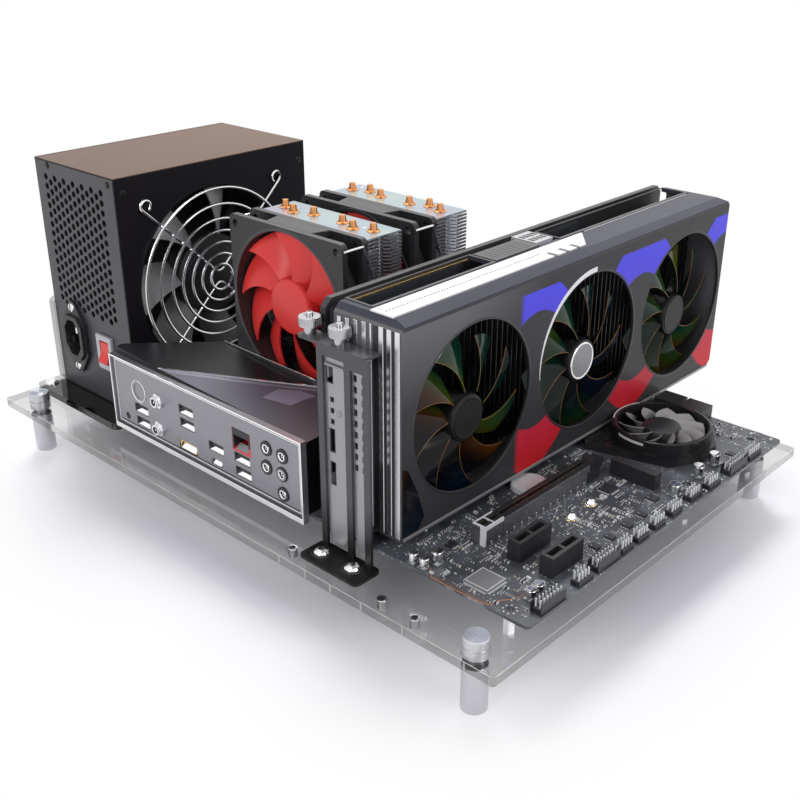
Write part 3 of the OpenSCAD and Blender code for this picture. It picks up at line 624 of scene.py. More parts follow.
for sz, vertex in ((1, 3.7), (-1, -4)):
    mid = [Vector((u, vertex + sz * lift)) for u, lift in ((-1.6, 0.25), (0, 0), (1.6, 0.25))]
    path = hook(-1, sz, vertex)[::-1] + mid + hook(1, sz, vertex)
    b.tube([(p.x, p.y, 1.25) for p in path], WIRE, 8, 0, False, at)
b.make("guard_wires", "bright_metal", over=["psu_grille"])

b = Build()
at = about((73.9, *PSU_AXIS), "x")
b.turn([(0, 19), (18, 19), (19.4, 18.4), (20, 17), (20, 1), (19, 0), (1.6, 0)], 40, 1, at)
b.turn([(0, 18.9), (25, 17.6), (26, 16.5), (26, 3), (20, 2.4)], 40, 1, at)
b.blades(at, 7, (25.6, 54.8), low=1, deep=17.5, wide=(0.42, 0.46), sweep=0.22, thick=1.5,
         drop=0.15, cuts=7, start=2.95)
b.make("psu_blades", "grey_plastic black_plastic", "psu_rotor_body",
       ["psu_rotor"])

# seams of the lid, two screws in the near end and four round the fan
b = Build()
b.box((11.7, 39.2, PSU_TOP - 0.05), (12.5, 182.8, PSU_TOP - 0.001))
for x in (13, 14.2):
    b.box((x, 38.9, PSU_TOP - 0.06), (x + 0.4, 183, PSU_TOP + 0.02))
for x, z in ((25.5, 181.1), (90, 179.9)):
    b.turn([(0, 0.55), (1.5, 0.5), (2.1, 0.2), (2.2, 0)], 20, 0, about((x, PSU_NEAR, z), "-y"))
for y, z in ((44.2, 175), (178, 172.2), (44.2, 46), (178, 46)):
    b.turn([(0, 0.3), (1.6, 0.3), (2.1, 0.1), (2.2, 0)], 20, 0, about((PSU_FACE, y, z), "x"))
b.make("psu_seams", "hub_black")

b = Build()
for z in (52.5, 92.5):
    at = about((35.6, PSU_NEAR - 2.4, z), "-y")
    b.turn([(0, 0.9), (1.4, 1.1), (2.6, 0.7), (3, 0), (3, -0.5)], 20, 0, at)
    b.box((-0.35, -2.4, 1), (0.35, 2.4, 1.2), 1, 0, at)
b.make("inlet_screws", "bright_metal black_plastic")

# -------- tower cooler
for nm, y in (("front", 84.6), ("rear", 138.4)):
    b = Build()
    at = about((COOLER_X, y, COOLER_Z), "-y")
    b.turn([(0, 13), (13.6, 12.9), (15.4, 12.3), (16.3, 11), (16.5, 9.5), (16.5, 0.4),
            (15.5, 0), (1.6, 0)], 48, 0, at)
    b.blades(at, 9, (16, 41.3), low=0.6, deep=12, wide=(0.64, 0.70), sweep=0.40, thick=1.1,
             drop=0.1, bend=1.2, start=0.35)
    b.make("cooler_blades_" + nm, "red_plastic", "rotor_" + nm + "_body",
           ["rotor_" + nm])

b = Build()
for y in (70, 123.8):
    # bridges between the two flanges, flush with them, in the middle of each side
    bridge = [(187, y + 3.5), (223, y + 3.5), (226, y + 14.5), (184, y + 14.5)]
    b.prism(bridge, 167.5, 171, 0, 0.3)
    b.prism(bridge, 81, 84.5, 0, 0.3)
    for x0, x1 in ((160, 163.5), (246.5, 250)):
        b.box((x0, y + 3.5, 108), (x1, y + 14.5, 144), 0, 0.3)
    # rounded bore lip at the front
    b.turn([(42.5, 0), (43.4, 0.25), (44.4, 0.3), (44.6, 0)], 64, 1,
           about((COOLER_X, y, COOLER_Z), "-y"))
b.make("fan_bridges", "black_plastic anthracite")

b = Build()
for y in (88, 141.8):
    b.prism(rect(162.2, y + 0.2, 247.8, y + 27.8, 0.6), FIN_TOP - 0.1, FIN_TOP + 0.5, 0, 0.15)
    # bent flaps along the short sides, two deep folds a side as on the real sheets
    for x in (162, 248):
        for i in range(44):
            z = 80 + i * 2
            for y0, y1 in ((0.3, 10), (19.6, 27.6)):
                b.box((x - 0.15, y + y0, z + 0.7), (x + 0.25, y + y1, z + 1.5), 1)
for x, shift in ((-36, 0), (-25, -4), (-12.5, 0), (10.5, 0), (22.5, -4), (34, 0)):
    for y in (103.6 + shift, 157 - shift):
        # collar round a heat pipe's end
        b.turn([(2.5, 0.4), (3.7, 0.45), (3.75, 0.8), (2.9, 1), (2.5, 1.6)], 20, 2,
               about((COOLER_X + x, y, FIN_TOP), "z"))
# painted highlights: small white domes where light catches the screw heads on the fin tops
for x, y in ((231.8, 104.1), (176, 103), (228.8, 163), (169.4, 164.9)):
    b.turn([(0, 1), (0.9, 0.9), (1.3, 0.5), (1.4, 0.4)], 16, 3, about((x, y, FIN_TOP), "z"))
b.make("fin_tops", "fin_top fin_aluminium copper white_plastic")

# -------- graphics card
BLADES, SWEEP, BEND = 9, 0.42, 1.1
for k, y in enumerate(CARD_FANS):
    b = Build()
    at = about((311.6, y, HUB_Z), "x")
    cap, ring = (3, 2) if k == 1 else (1, 1)  # the middle hub has a pale cap
    b.turn([(0, 12.9), (9.6, 12.9)], 40, cap, at)
    b.turn([(9.6, 12.9), (9.9, 13), (10.7, 13), (11, 12.7)], 40, ring, at)
    b.turn([(11, 12.7), (12.2, 12.2), (12.8, 11), (13, 9), (13, 0.4), (12, 0),
            (1.6, 0)], 40, 1, at)
    b.blades(at, BLADES, (12.7, 42.3), low=0.8, deep=10.6, wide=(0.50, 0.60), sweep=SWEEP,
             thick=0.8, drop=0.2, bend=BEND, start=0.2 * k)
    for i in range(BLADES):
        # painted highlight: a bright line along the leading edge
        path = []
        for q in (j / 12 for j in range(13)):
            r = 14 + 28 * q
            a = (0.2 * k + 2 * math.pi * i / BLADES + SWEEP * q ** BEND
                 + 0.5 * (0.50 + 0.10 * q))
            path.append((r * math.cos(a), r * math.sin(a), 11.3 - 1.05 * q))
        b.tube(path, 0.22, 5, 4, False, at)
    b.make("card_blades_%d" % (k + 1),
           "card_dark hub_black bright_metal pale_grey edge_line",
           "card_rotor_%d_body" % (k + 1), ["card_rotor_%d" % (k + 1)])

b = Build()
for y in CARD_FANS:
    b.turn([(44.45, -1.6), (44.4, -0.2), (44.7, 0.12), (45.5, 0.14), (45.8, 0)], 96, 0,
           about((CARD_FACE, y, HOLE_Z), "x"))
f = about((CARD_FACE, 0, 0), "x")
# painted highlight: a white crescent round the middle opening, widest at its top
angles = [88 + 4 * i for i in range(25)]
widths = [2.5 * math.sin(math.pi * 0.5 * (1 - i / 24)) for i in range(25)]
b.band(arc(CARD_FANS[1], HOLE_Z, 45.4, angles),
       [arc(CARD_FANS[1], HOLE_Z, 45.6 + w, [a])[0] for a, w in zip(angles, widths)],
       0, 0.3, 1, f)
line = [(200.2, 146.4), (206.6, 151.2), (324.4, 151.6)]
for p, q in zip(line, line[1:]):
    d = (Vector(q) - Vector(p)).normalized() * 0.28
    b.prism([(p[0] + d.y, p[1] - d.x), (q[0] + d.y, q[1] - d.x),
             (q[0] - d.y, q[1] + d.x), (p[0] - d.y, p[1] + d.x)], 0, 0.06, 0, 0, f)
# dark shadow gap under the bevelled top edge, cut by short seams
b.box((31, 156.4, 0), (325.6, 157.6, 0.12), 0, 0, f)
for y in (175, 212, 245, 284):
    b.box((y, 154.6, 0), (y + 0.6, 158.4, 0.14), 0, 0, f)
    b.box((320.4, y, CARD_TOP), (321.6, y + 0.6, CARD_TOP + 0.06))
# ledge along the lower edge
b.box((31, 47.9, 0), (324, 49.7, 0.5), 2, 0.15, f)
# panel step near the near end
b.prism([(30.4, 50.2), (41.5, 50.2), (46, 56), (41, 72), (34.2, 86), (30.4, 88)],
        0, 0.25, 3, 0.1, f)
b.make("card_front_trim_and_highlight", "black_plastic white_plastic pale_grey card_dark")

# silver bars down the near end, four short ones above the slot plate and four long ones
b = Build()
f = front(CARD_END)
for x, z in ((289, 154.6), (294.3, 155), (299.6, 155.6), (305, 156)):
    b.box((x - 1.3, 143.8, 0), (x + 1.3, z, 0.6), 0, 0.2, f)
b.box((303.7, 141, 0), (306.3, 144, 0.3), 0, 0.1, f)
for x, half in ((309.3, 0.5), (315.9, 1.4), (320.9, 1.4), (326, 1.5)):
    b.box((x - half, 49.4, 0), (x + half, 156.2, 0.6), 0, 0.2, f)
b.box((310.6, 49.4, 0), (313.8, 156, 0.15), 1, 0, f)
for x in (318, 323.1):
    b.box((x - 0.7, 49.4, 0), (x + 0.7, 156, 0.12), 1, 0, f)
b.box((286.2, 48.2, 0), (328, 49.2, 0.7), 2, 0.2, f)
b.make("card_end_bars", "bar_silver black_plastic shroud_black")

b = Build()
# dotted line on the white strip and along the far opening, gold contact rail on the board's edge
for i in range(58):
    b.box((311.6, 37 + 2 * i, CARD_TOP + 0.78), (312.3, 38 + 2 * i, CARD_TOP + 0.86))
for i in range(56):
    b.box((303.2, 206 + 2 * i, CARD_TOP - 0.02), (304, 207.1 + 2 * i, CARD_TOP + 0.08), 1)
b.box((279.55, 40, 155.3), (281, 176, 156.3), 2, 0.1)
# raised surrounds of the two top openings and the plate between them
b.frame(rect(284.6, 37.6, 303, 128.4), rect(285.4, 39, 301, 127),
        CARD_TOP - 0.05, CARD_TOP + 0.5, 3, 0.15)
b.frame(rect(284.6, 184.2, 303, 320.6), rect(285.4, 185.4, 301, 319.2),
        CARD_TOP - 0.05, CARD_TOP + 0.5, 3, 0.15)
b.box((286, 129.4, CARD_TOP - 0.05), (302, 166.4, CARD_TOP + 0.7), 3, 0.3)
for i in range(9):
    b.box((288, 133 + i * 3.4, CARD_TOP + 0.66), (300, 134.2 + i * 3.4, CARD_TOP + 0.74))
# contact slots in the power socket
for i in range(4):
    for x in (284.4, 290.8):
        b.box((x, 170 + i * 3.4, CARD_TOP + 0.35), (x + 4.2, 172.4 + i * 3.4, CARD_TOP + 0.46))
b.make("card_top_trim", "black_plastic white_plastic gold shroud_black")

# backplate: screws, slanted ribs and the frame of the fin window
b = Build()
f = about((CARD_BACK, 0, 0), "-x")
for y, z in ((40, 66), (40, 150), (120, 66), (120, 150), (222, 62), (222, 152), (318, 62),
             (318, 152)):
    b.turn([(0, 0.9), (1.6, 0.8), (2.4, 0.3), (2.6, 0)], 18, 0, about((CARD_BACK, y, z), "-x"))
for y in (60 + i * 16 for i in range(7)):
    b.prism([(y + 22, 138), (y + 24.4, 138), (y + 2.4, 78), (y, 78)], 0, 0.35, 1, 0.1, f)
b.frame(rect(236.8, 68.6, 319.2, 137)[::-1], rect(238, 69.8, 318, 135.8)[::-1], 0, 0.4, 1,
        0.1, f)
b.make("card_back_trim", "bright_metal shroud_black")

# -------- slot bracket
b = Build()
b.turn([(0, 0.15), (1.3, 0.12), (1.7, 0)], 20, 1, about((295.9, 21.45, 109.1), "-y"))
b.box((288, 133, -1.2), (300.6, 134, -0.4), 1, 0, front(20))
KNURLS = 24
for x, y, z in ((274.5, 24.4, 148), (294.8, 24.4, 148)):
    for i in range(KNURLS):
        t = 2 * math.pi * i / KNURLS
        b.box((-0.35, 5.15, 0.7), (0.35, 5.45, 3.7), 0, 0, lambda u, v, w, c=math.cos(t),
              s=math.sin(t), x=x: (x + u * c - v * s, y + u * s + v * c, z + w))
    at = about((x, y, z), "z")
    b.turn([(5.2, 3.7), (4.9, 4.2), (2.6, 4.45)], 32, 0, at)
    b.turn([(1.75, 4.4), (1.7, 6.1), (1.4, 6.45), (0.9, 6.5), (0.8, 5.4), (0, 5.4)], 20, 2, at)
for x, y in ((287.5, 15.1), (308.8, 15.6)):
    at = about((x, y, 31.6), "z")
    b.turn([(4.2, 0.3), (5.4, 0.25), (5.6, 0)], 32, 3, at)
    b.turn([(1.1, 2.62), (1.05, 2.2), (0, 2.1)], 6, 3, at)
b.make("bracket_fittings", "screw_metal shield_metal satin_aluminium black_plastic")

# -------- port panel
# X and Z of the sockets' middles
USB = ((126.9, 55.9), (127.5, 47.4), (171.3, 69.3), (171.7, 61.1), (197, 55.4), (219.4, 56.7),
       (219.9, 48.2))
JACKS = ((240.3, 71), (252.7, 70.8), (239.9, 59.8), (252, 60), (252.3, 48.4))
ANTENNAS = ((146.1, 68), (145.2, 50.1))
PORT_FACE = 21.6
b = Build()
b.frame(rect(100.1, 37.4, 269, 84.7), rect(100.9, 40.4, 268.2, 83.8), 0, 0.35, 0, 0.1,
        front(20.2))
f = front(PORT_FACE)


def ramp_up(x0, x1, z0, z1, deep, mat, at):
    """A bright lead-in that rises from a port's lower lip into its throat."""
    b.add([(x, v, w) for x in (x0, x1) for v, w in ((z0, 0), (z1, -deep), (z0, -deep))],
          [(0, 1, 2), (3, 5, 4), (0, 3, 4, 1), (1, 4, 5, 2), (2, 5, 3, 0)], mat, at)


b.frame(rect(103.2, 42, 266.2, 82.3), rect(103.6, 42.4, 265.8, 81.7), 0, 0.3, 0, 0.08, f)
b.box((104, 42.8, 0), (265, 43.6, 0.05), 1, 0, f)
for x, z in USB:
    # dark back and sides, bright floor, tongue and lead-in
    at = about((x, PORT_FACE, z), "-y")
    b.box((-5.9, -2.4, -12.6), (5.9, 2.4, -11.9), 1, 0, at)
    b.box((-5.95, -2.45, -11.9), (-5.7, 2.45, -0.2), 1, 0, at)
    b.box((-5.7, -2.45, -11.9), (5.9, -2.25, 0.02), 0, 0, at)
    b.box((-5.9, 2.3, -11.9), (5.9, 2.45, -0.2), 1, 0, at)
    b.box((-5.5, 0.1, -13), (5.5, 1.85, -1.2), 1, 0.1, at)
    ramp_up(-5.6, 5.9, -2.45, 0.5, 3, 0, at)
for x, z in JACKS:
    at = about((x, 21, z), "-y")
    b.turn([(2.6, 0), (2.5, 0.3), (2, 0.35), (1.8, 0.1), (1.75, -1.5)], 28, 0, at)
    b.turn([(1.2, -2), (1.1, -0.7), (0.7, -0.7), (0.6, -2)], 20, 0, at)
b.turn([(3.5, 0), (3.4, 0.4), (2.5, 0.45)], 28, 2, about((252, 21, 60), "-y"))
for x, z in ANTENNAS:
    at = about((x, 22.4, z), "-y")
    for w in (2.8, 3.9):
        b.turn([(3.1, w), (3.35, w + 0.3), (3.1, w + 0.7)], 24, 4, at)
    b.turn([(0.6, 3), (0.55, 4.6), (0, 4.7)], 12, 0, at)
    b.turn([(2.2, 3.05), (0.4, 3.05)], 16, 1, at)
# keyboard socket
at = about((125.9, 21.4, 67.4), "-y")
b.turn([(0, -0.35), (6, -0.35), (6.2, -0.1)], 32, 5, at)
b.turn([(6.3, 0), (6.4, 0.18), (6.75, 0.18), (6.85, 0)], 40, 0, at)
# network socket: dark throat and rim over a pale lead-in, eight contacts inside
b.box((213.2, 61.7, -13.9), (225.7, 70.1, -13.5), 1, 0, f)
b.box((213.25, 63, -13.5), (213.5, 70.1, 0), 1, 0, f)
b.box((212.3, 61, 0), (213.3, 74.1, 0.12), 1, 0.05, f)
ramp_up(214.6, 224.6, 61.7, 64.4, 3, 2, f)
b.box((213.5, 69.9, -13.5), (225.5, 70.1, 0.02), 1, 0, f)
b.box((213.2, 70.1, 0), (226.8, 74.1, 0.12), 1, 0.05, f)
b.box((225.6, 65, 0), (226.8, 70.1, 0.12), 1, 0.05, f)
for x in (215.4 + i * 1.02 for i in range(8)):
    b.box((x, 62.2, -9), (x + 0.4, 62.6, -1), 3, 0, f)
    b.box((x, 62.6, -9), (x + 0.4, 69.6, -8.6), 3, 0, f)
# lead-ins of the display socket and the small port, and the reset button's dimple
ramp_up(164.4, 177.2, 44.4, 47, 2.4, 0, f)
ramp_up(193.4, 200.4, 45, 46.8, 1.6, 0, f)
b.turn([(0, -0.4), (1.9, -0.35), (2.2, 0)], 20, 1, about((111.7, 22, 47), "-y"))
b.make("port_details", "rim black_plastic pale_grey gold bright_metal shield_metal")

# -------- port cover
b = Build()
RIDGE = math.radians(28)  # turn of the ridge from X
c28, s28 = math.cos(RIDGE), math.sin(RIDGE)


def crease(along, back, lift=0):
    """A point of the cover's top, from the start of its ridge, along it and back from it."""
    slope = math.tan(math.radians(6 if back > 0 else 3.3))
    return (141 + along * c28 - back * s28, 21.8 + along * s28 + back * c28,
            87 + back * slope + lift)


def highlight_line(a0, a1, end, b0, b1, lift, mat):
    """Painted highlight: a raised line on the ridge, from a0 at b0 and a1 at b1 to its end."""
    q = ((a0, b0), (end, b0), (end, b1), (a1, b1))
    b.add([crease(*p) for p in q] + [crease(*p, lift) for p in q],
          [(4, 5, 6, 7), (0, 3, 2, 1), (0, 1, 5, 4), (1, 2, 6, 5), (2, 3, 7, 6), (3, 0, 4, 7)], mat)


# painted highlights: two raised bright lines and two flat lilac patches on the cover's top
highlight_line(4.6, 4.6, 99.6, -0.45, 0.45, 0.35, 0)
b.add([crease(*p, 0.1) for p in ((6, -1.2), (12, -3), (48, -5.6), (104, -5.2), (104, -4.4),
                                 (60, -3))], [tuple(range(6))], 2)
highlight_line(12, 13.2, 103, -4.6, -3.9, 0.18, 1)
b.add([crease(*p, 0.12) for p in ((75, -19), (80, -8), (92, -7), (103, -11), (99, -15),
                                  (93, -24))], [tuple(range(6))], 2)
# raised back wall and its bright edge
f = front(0)
b.prism([(149.2, 89), (228, 85), (232, 85), (228.4, 90.4), (172, 91.3),
         (149.2, 91.5)], -69.25, -68.45, 3, 0.1, f)
b.prism([(149.2, 91.3), (228.6, 90.2), (228.6, 90.7), (172, 91.7), (149.2, 91.9)],
        -69.3, -68.3, 0, 0.05, f)
b.make("cover_wall_and_highlights", "bright_metal pale_grey lilac anthracite")

# -------- board parts
# X, Y and length of the pin headers, X, Y and diameter of the round capacitors
HEADERS = ((404.6, 239, 14), (404.5, 218, 18), (404.5, 193, 12), (403.6, 175, 12),
           (404.4, 154, 10), (404.6, 137, 10), (404.8, 121, 10), (404.6, 107, 10),
           (404.4, 90, 18), (405, 71, 12), (404.6, 45, 18))
CANS = ((394.5, 196.7, 6.3), (395.5, 169.8, 6.3), (394, 215.2, 6.3), (396.6, 42.8, 5),
        (396.5, 48.8, 5), (337.5, 28.4, 5), (344.3, 28.6, 5), (346, 35.8, 6.3))
# rectangles taken by the port block, the disk sockets and the short slots
taken = [(103, 25, 270, 75), (330, 253.5, 347.4, 269.5), (347, 253.5, 364.4, 269.5),
         (366.8, 61, 376.4, 88), (385.7, 61, 395.3, 88)]


def keep(x, y, half_x, half_y):
    taken.append((x - half_x, y - half_y, x + half_x, y + half_y))


for nm in ("second_slot", "main_slot", "edge_connector", "cooler_base", "cpu_socket",
           "board_power_socket", "memory_slots", "chipset_cover", "slot_latch"):
    lo, hi = ([v / MM - s for v, s in zip(corner, SHIFT)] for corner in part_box(nm))
    taken.append((lo[0] - 1, lo[1] - 1, hi[0] + 1, hi[1] + 1))
for x, y, l in HEADERS:
    keep(x, y, 3.4, l / 2 + 1)
for x, y, d in CANS:
    keep(x, y, d / 2 + 0.8, d / 2 + 0.8)
for x, y in (*HOLES, *M2_POSTS):
    keep(x, y, 4.6, 4.6)


def free(x0, y0, x1, y1, claim=True):
    """Tells whether a rectangle of the board is empty, and takes it."""
    if x0 < 104.5 or x1 > 407.4 or y0 < 26.5 or y1 > 267.6:
        return False
    if any(x0 < a[2] and x1 > a[0] and y0 < a[3] and y1 > a[1] for a in taken):
        return False
    if claim:
        taken.append((x0, y0, x1, y1))
    return True


chips = Build()
legs = Build()


def chip(cx, cy, w, d, h, pins_x=0, pins_y=0, mat=0):
    """A flat package with its row of bent legs on each side."""
    if not free(cx - w / 2 - 1.4, cy - d / 2 - 1.4, cx + w / 2 + 1.4, cy + d / 2 + 1.4):
        return
    chips.box((cx - w / 2, cy - d / 2, BOARD + 0.1), (cx + w / 2, cy + d / 2, BOARD + h), mat, 0.15)
    chips.turn([(0, 0.02), (0.4, 0.02), (0.45, 0)], 10, 1,
               about((cx - w / 2 + 1.1, cy - d / 2 + 1.1, BOARD + h), "z"))
    for s in (-1, 1):
        for i in range(pins_x):
            x = cx + (i - (pins_x - 1) / 2) * (w - 1.4) / max(1, pins_x - 1)
            y = cy + s * (d / 2 + 0.5)
            legs.box((x - 0.18, y - 0.6, BOARD), (x + 0.18, y + 0.6, BOARD + 0.3))
        for i in range(pins_y):
            y = cy + (i - (pins_y - 1) / 2) * (d - 1.4) / max(1, pins_y - 1)
            x = cx + s * (w / 2 + 0.5)
            legs.box((x - 0.6, y - 0.18, BOARD), (x + 0.6, y + 0.18, BOARD + 0.3))


chip(372.6, 39.4, 14, 14, 1.5, 20, 20, 1)
chips.frame(rect(365.7, 32.5, 379.5, 46.3), rect(366.2, 33, 379, 45.8), BOARD + 1.45,
            BOARD + 1.56, 4, 0.03)
for cx, cy, w, d, nx, ny in (
        (366.7, 150.9, 8, 8, 9, 9), (389.3, 158.5, 6, 5, 5, 0), (393.9, 140.6, 5, 4, 4, 0),
        (394.3, 126.3, 5, 4, 4, 0), (394.1, 111, 5, 4, 4, 0), (393.4, 98.6, 5, 4, 4, 0),
        (401.8, 30.8, 5, 4, 4, 0), (341, 52, 5, 5, 0, 5), (360.2, 96, 5, 6, 0, 6),
        (383, 178, 7, 7, 8, 8), (338, 152, 6, 5, 5, 0), (344, 171, 5, 4, 4, 0),
        (396, 232, 6, 4, 5, 0), (300, 35, 8, 8, 9, 9), (287, 46, 5, 4, 4, 0),
        (312, 49, 6, 5, 5, 0), (262, 170, 8, 12, 0, 8), (262, 110, 6, 9, 0, 6),
        (150, 90, 5, 5, 5, 0), (130, 110, 6, 6, 0, 6), (130, 150, 6, 6, 0, 6)):
    chip(cx, cy, w, d, 1.2, nx, ny)
# power stages: rows of chokes and transistors beside the processor
CHOKE_PITCH = 12.6
for i in range(8):
    y = 84 + i * CHOKE_PITCH
    if free(114, y - 4.6, 124, y + 4.6):
        chips.prism(rect(114.4, y - 4.3, 123.6, y + 4.3, 1.2), BOARD, BOARD + 6, 2, 0.5)
    chip(132.5, y, 5, 5, 1, 0, 4)
for i in range(7):
    x = 136 + i * CHOKE_PITCH
    if free(x - 4.6, 78, x + 4.6, 87):
        chips.prism(rect(x - 4.3, 78.4, x + 4.3, 86.6, 1.2), BOARD, BOARD + 6, 2, 0.5)
# coin cell
chips.turn([(0, 3.4), (9.4, 3.4), (10, 3), (10, 0)], 40, 4, about((334, 124, BOARD), "z"))
keep(334, 124, 11, 11)
chips.make("board_chips", "black_plastic pale_grey psu_grey bright_metal white_tick")
legs.make("board_legs", "white_tick")

tiny = Build()
TAN, BLACK, GREY, WHITE = range(4)
# length, width and height of chip resistors and capacitors
SIZES = ((1.6, 0.8, 0.5), (1.6, 0.8, 0.5), (1.2, 0.65, 0.45), (2, 1.25, 0.9), (2.4, 1.4, 1))


def passive(cx, cy, along_x, size):
    """One chip resistor or capacitor with its two bright ends, if there is room."""
    l, w, h = size
    hx, hy = (l / 2, w / 2) if along_x else (w / 2, l / 2)
    if not free(cx - hx - 0.25, cy - hy - 0.25, cx + hx + 0.25, cy + hy + 0.25):
        return
    body = rng.choice((TAN, WHITE, BLACK, GREY, GREY))
    end = l * 0.24
    ex, ey = (end, 0) if along_x else (0, end)
    tiny.box((cx - hx + ex, cy - hy + ey, BOARD), (cx + hx - ex, cy + hy - ey, BOARD + h), body)
    ex, ey = (end, w) if along_x else (w, end)
    top = BOARD + h + 0.03
    tiny.box((cx - hx, cy - hy, BOARD), (cx - hx + ex, cy - hy + ey, top), WHITE)
    tiny.box((cx + hx - ex, cy + hy - ey, BOARD), (cx + hx, cy + hy, top), WHITE)


def anywhere(bare, right, low=27, high=266, left=106):
    """A random place on the board, or on its bare right part."""
    return rng.uniform(328 if bare else left, right), rng.uniform(low, high)


for i in range(230):
    cx, cy = anywhere(i < 150, 404)
    along = rng.random() < 0.5
    size = rng.choice(SIZES)
    pitch = size[1] + 0.75
    for j in range(rng.randint(2, 8)):
        passive(cx + (0 if along else j * pitch), cy + (j * pitch if along else 0), along, size)
for i in range(900):
    cx, cy = anywhere(i < 650, 406)
    passive(cx, cy, rng.random() < 0.5, rng.choice(SIZES))
for i in range(520):
    # printed ticks, flat white lines just above the mask
    cx, cy = anywhere(i < 400, 405, 28, 265, 108)
    l = rng.uniform(0.8, 4)
    dx, dy = (l, 0.2) if rng.random() < 0.5 else (0.2, l)
    if free(cx, cy, cx + dx, cy + dy, False):
        tiny.box((cx, cy, BOARD), (cx + dx, cy + dy, BOARD + 0.03), WHITE)
for x, y in HOLES:
    for cx, cy in arc(x, y, 3.3, (22.5 + 45 * i for i in range(8))):
        tiny.turn([(0, 0.06), (0.42, 0.06), (0.45, 0)], 10, WHITE, about((cx, cy, BOARD), "z"))
tiny.make("board_small_parts", "tan_part black_plastic psu_grey white_tick")

b = Build()
for path, r in (
        (((347.1, 30.1), (352.3, 24.9), (382.9, 25.4), (385.9, 27.5), (387, 32.7), (391.1, 37.8),
          (392.4, 44)), 0.26),
        (((405.6, 52.1), (407.6, 52.6)), 0.26),
        (((349, 30.1), (353.2, 26.4), (381.6, 26.9), (384.4, 28.9)), 0.1)):
    b.tube([(x, y, BOARD) for x, y in path], r, 6)
for x, y in M2_POSTS:
    b.turn([(4.3, 0), (4.25, 0.12), (3.2, 0.12)], 32, 1, about((x, y, BOARD), "z"))
b.make("board_orange_run", "orange_run gold")

b = Build()
for x, y, d in CANS:
    r = d * 0.47
    b.turn([(r - 0.1, 0.9), (r + 0.12, 1.3), (r + 0.12, d + 0.4), (r - 0.35, d + 1.02),
            (0, d + 1.05)], 24, 0, about((x, y, BOARD), "z"))
    b.prism(arc(x, y, r * 0.94, range(-60, 61, 10)), BOARD + d + 1.04, BOARD + d + 1.1, 1)
b.make("can_sleeves", "bright_metal black_plastic")

b = Build()
for x, y, l in HEADERS:
    b.box((x - 2.5, y - l / 2, BOARD), (x + 2.5, y + l / 2, BOARD + 2.6), 0, 0.15)
    if l == 18:
        for x0 in (x - 3.1, x + 2.6):
            b.box((x0, y - l / 2 - 0.5, BOARD), (x0 + 0.5, y + l / 2 + 0.5, BOARD + 5.6), 0, 0.1)
    for i in range(int((l - 1) / 2.54) + 1):
        yp = y - l / 2 + 1.3 + 2.54 * i
        for xp in (x - 1.3, x + 1.3):
            if yp < y + l / 2 - 0.9:
                b.box((xp - 0.36, yp - 0.36, BOARD + 2.5), (xp + 0.36, yp + 0.36, BOARD + 6.8),
                      1, 0.1)
b.make("header_pins", "black_plastic white_tick",
       over=["pin_headers"])

# long slot: two rows of contacts, speckled side shells with clips and a pale-rimmed end cap
b = Build()
for x in (SLOT_X + 2.3, SLOT_X + 4.7):
    for i in range(40):
        b.box((x, 64.5 + i * 2.1, 50), (x + 0.6, 65.3 + i * 2.1, 53.05), 1)
b.box((SLOT_X - 0.3, 61.6, BOARD), (SLOT_X + 4.6, 62.4, 52.5), 2, 0.1)
b.box((SLOT_X + 4.6, 61.5, BOARD), (SLOT_X + 7.9, 62.4, 52.5), 0, 0.1)
b.box((SLOT_X - 0.3, 61.5, 52.5), (SLOT_X + 7.9, 62.5, 53.4), 0, 0.15)
for x in (SLOT_X - 0.3, SLOT_X + 7.1):
    b.box((x, 62.4, 51), (x + 0.8, 76, 53.4), 0, 0.15)
    b.box((x + 0.1, 62.4, BOARD), (x + 0.7, 76, 51), 2)
b.box((SLOT_X + 0.4, 68.6, 52.4), (SLOT_X + 7.2, 69.4, 53.3), 0, 0.1)
for x in (SLOT_X, SLOT_X + 7.6):
    b.box((x - 0.25, 76.2, 42.1), (x + 0.25, 150.8, 52.2), 2, 0.1)
    for i in range(14):
        b.box((x - 0.4, 66 + i * 6.1, BOARD), (x + 0.4, 67.2 + i * 6.1, 43.6), 3, 0.1)
b.make("slot_shells", "white_plastic gold speckled bright_metal")

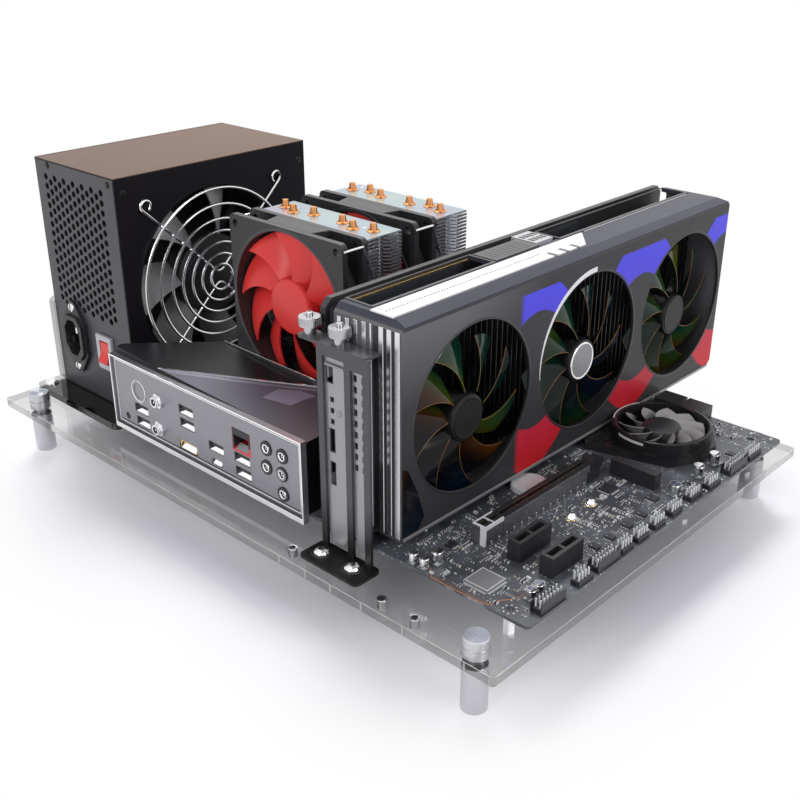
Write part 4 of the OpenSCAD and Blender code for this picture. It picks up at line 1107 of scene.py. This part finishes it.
# -------- chipset fan
b = Build()
at = about((*CHIPSET_FAN, 45.5), "z")
b.turn([(0, 8), (9.2, 7.9), (10.4, 7.3), (11, 6.2), (11, 0.3), (10, 0), (1.6, 0)], 36, 1, at)
b.blades(at, 11, (10.8, 24.6), low=0.3, deep=7, wide=(0.34, 0.40), sweep=-0.5, thick=0.7,
         drop=0.1, cuts=7, bend=1.2)
b.make("chipset_blades", "grey_plastic black_plastic", "chipset_rotor_body",
       ["chipset_rotor"])

b = Build()
at = about((*CHIPSET_FAN, 54), "z")
b.turn([(25.85, -2), (25.9, 0.2), (26.4, 0.45), (27.8, 0.45), (28.4, 0.1), (28.5, -0.4)],
       72, 0, at)
# one light catches the rim's top, another its side
angles = range(150, 211, 5)
b.band(arc(0, 0, 27.1, angles), arc(0, 0, 27.9, angles), 0.4, 0.6, 1, at)
angles = range(244, 281, 3)
b.band(arc(0, 0, 28.3, angles), arc(0, 0, 28.62, angles), -2.6, -1, 1, at)
for i in range(5):
    y = 232.5 + i * 1.9
    b.box((336, y, 47), (352 - i, y + 0.9, 47.5), 0, 0.15)
for i in range(4):
    x = 330 + i * 4.2
    b.box((x, 184.5 + i * 1.2, 47), (x + 1.4, 192 + i * 1, 47.5), 0, 0.15)
b.make("chipset_rim", "gloss_black white_tick")

# -------- plate, feet and inserts
b = Build()
for x, y in FEET:
    # turned grooves on the cap, a bead at its middle and a clear washer under it
    at = about((x, y, 40), "z")
    for r in (1.6, 3, 4.4, 5.6):
        b.turn([(r - 0.14, 0), (r, 0.05), (r + 0.14, 0)], 40, 0, at)
    b.turn([(6.36, -5.4), (6.5, -5.2), (6.5, -4.9), (6.36, -4.7)], 40, 0, at)
    b.turn([(6.9, -10.02), (6.6, -9.9), (6.35, -9.9)], 40, 1, at)
for x, y in INSERTS:
    b.turn([(0, 0.15), (1.5, 0.2), (1.6, 0.42)], 20, 2, about((x, y, PLATE), "z"))
b.make("foot_rings", "satin_aluminium clear_acrylic black_plastic")

# light caught by the plate's polished upper edges and by the screws seen through its front
b = Build()
b.box((2, 0.02, 29.7), (408, 0.3, 29.98), 0, 0.08)
b.box((409.7, 2, 29.7), (409.98, 286, 29.98), 0, 0.08)
for x in (271.8, 291, 309, 330, 356.6, 27.5, 393.5):
    b.box((x - 0.4, 0.01, 25.3), (x + 0.4, 0.2, 29.6))
b.make("edge_glints", "white_tick")
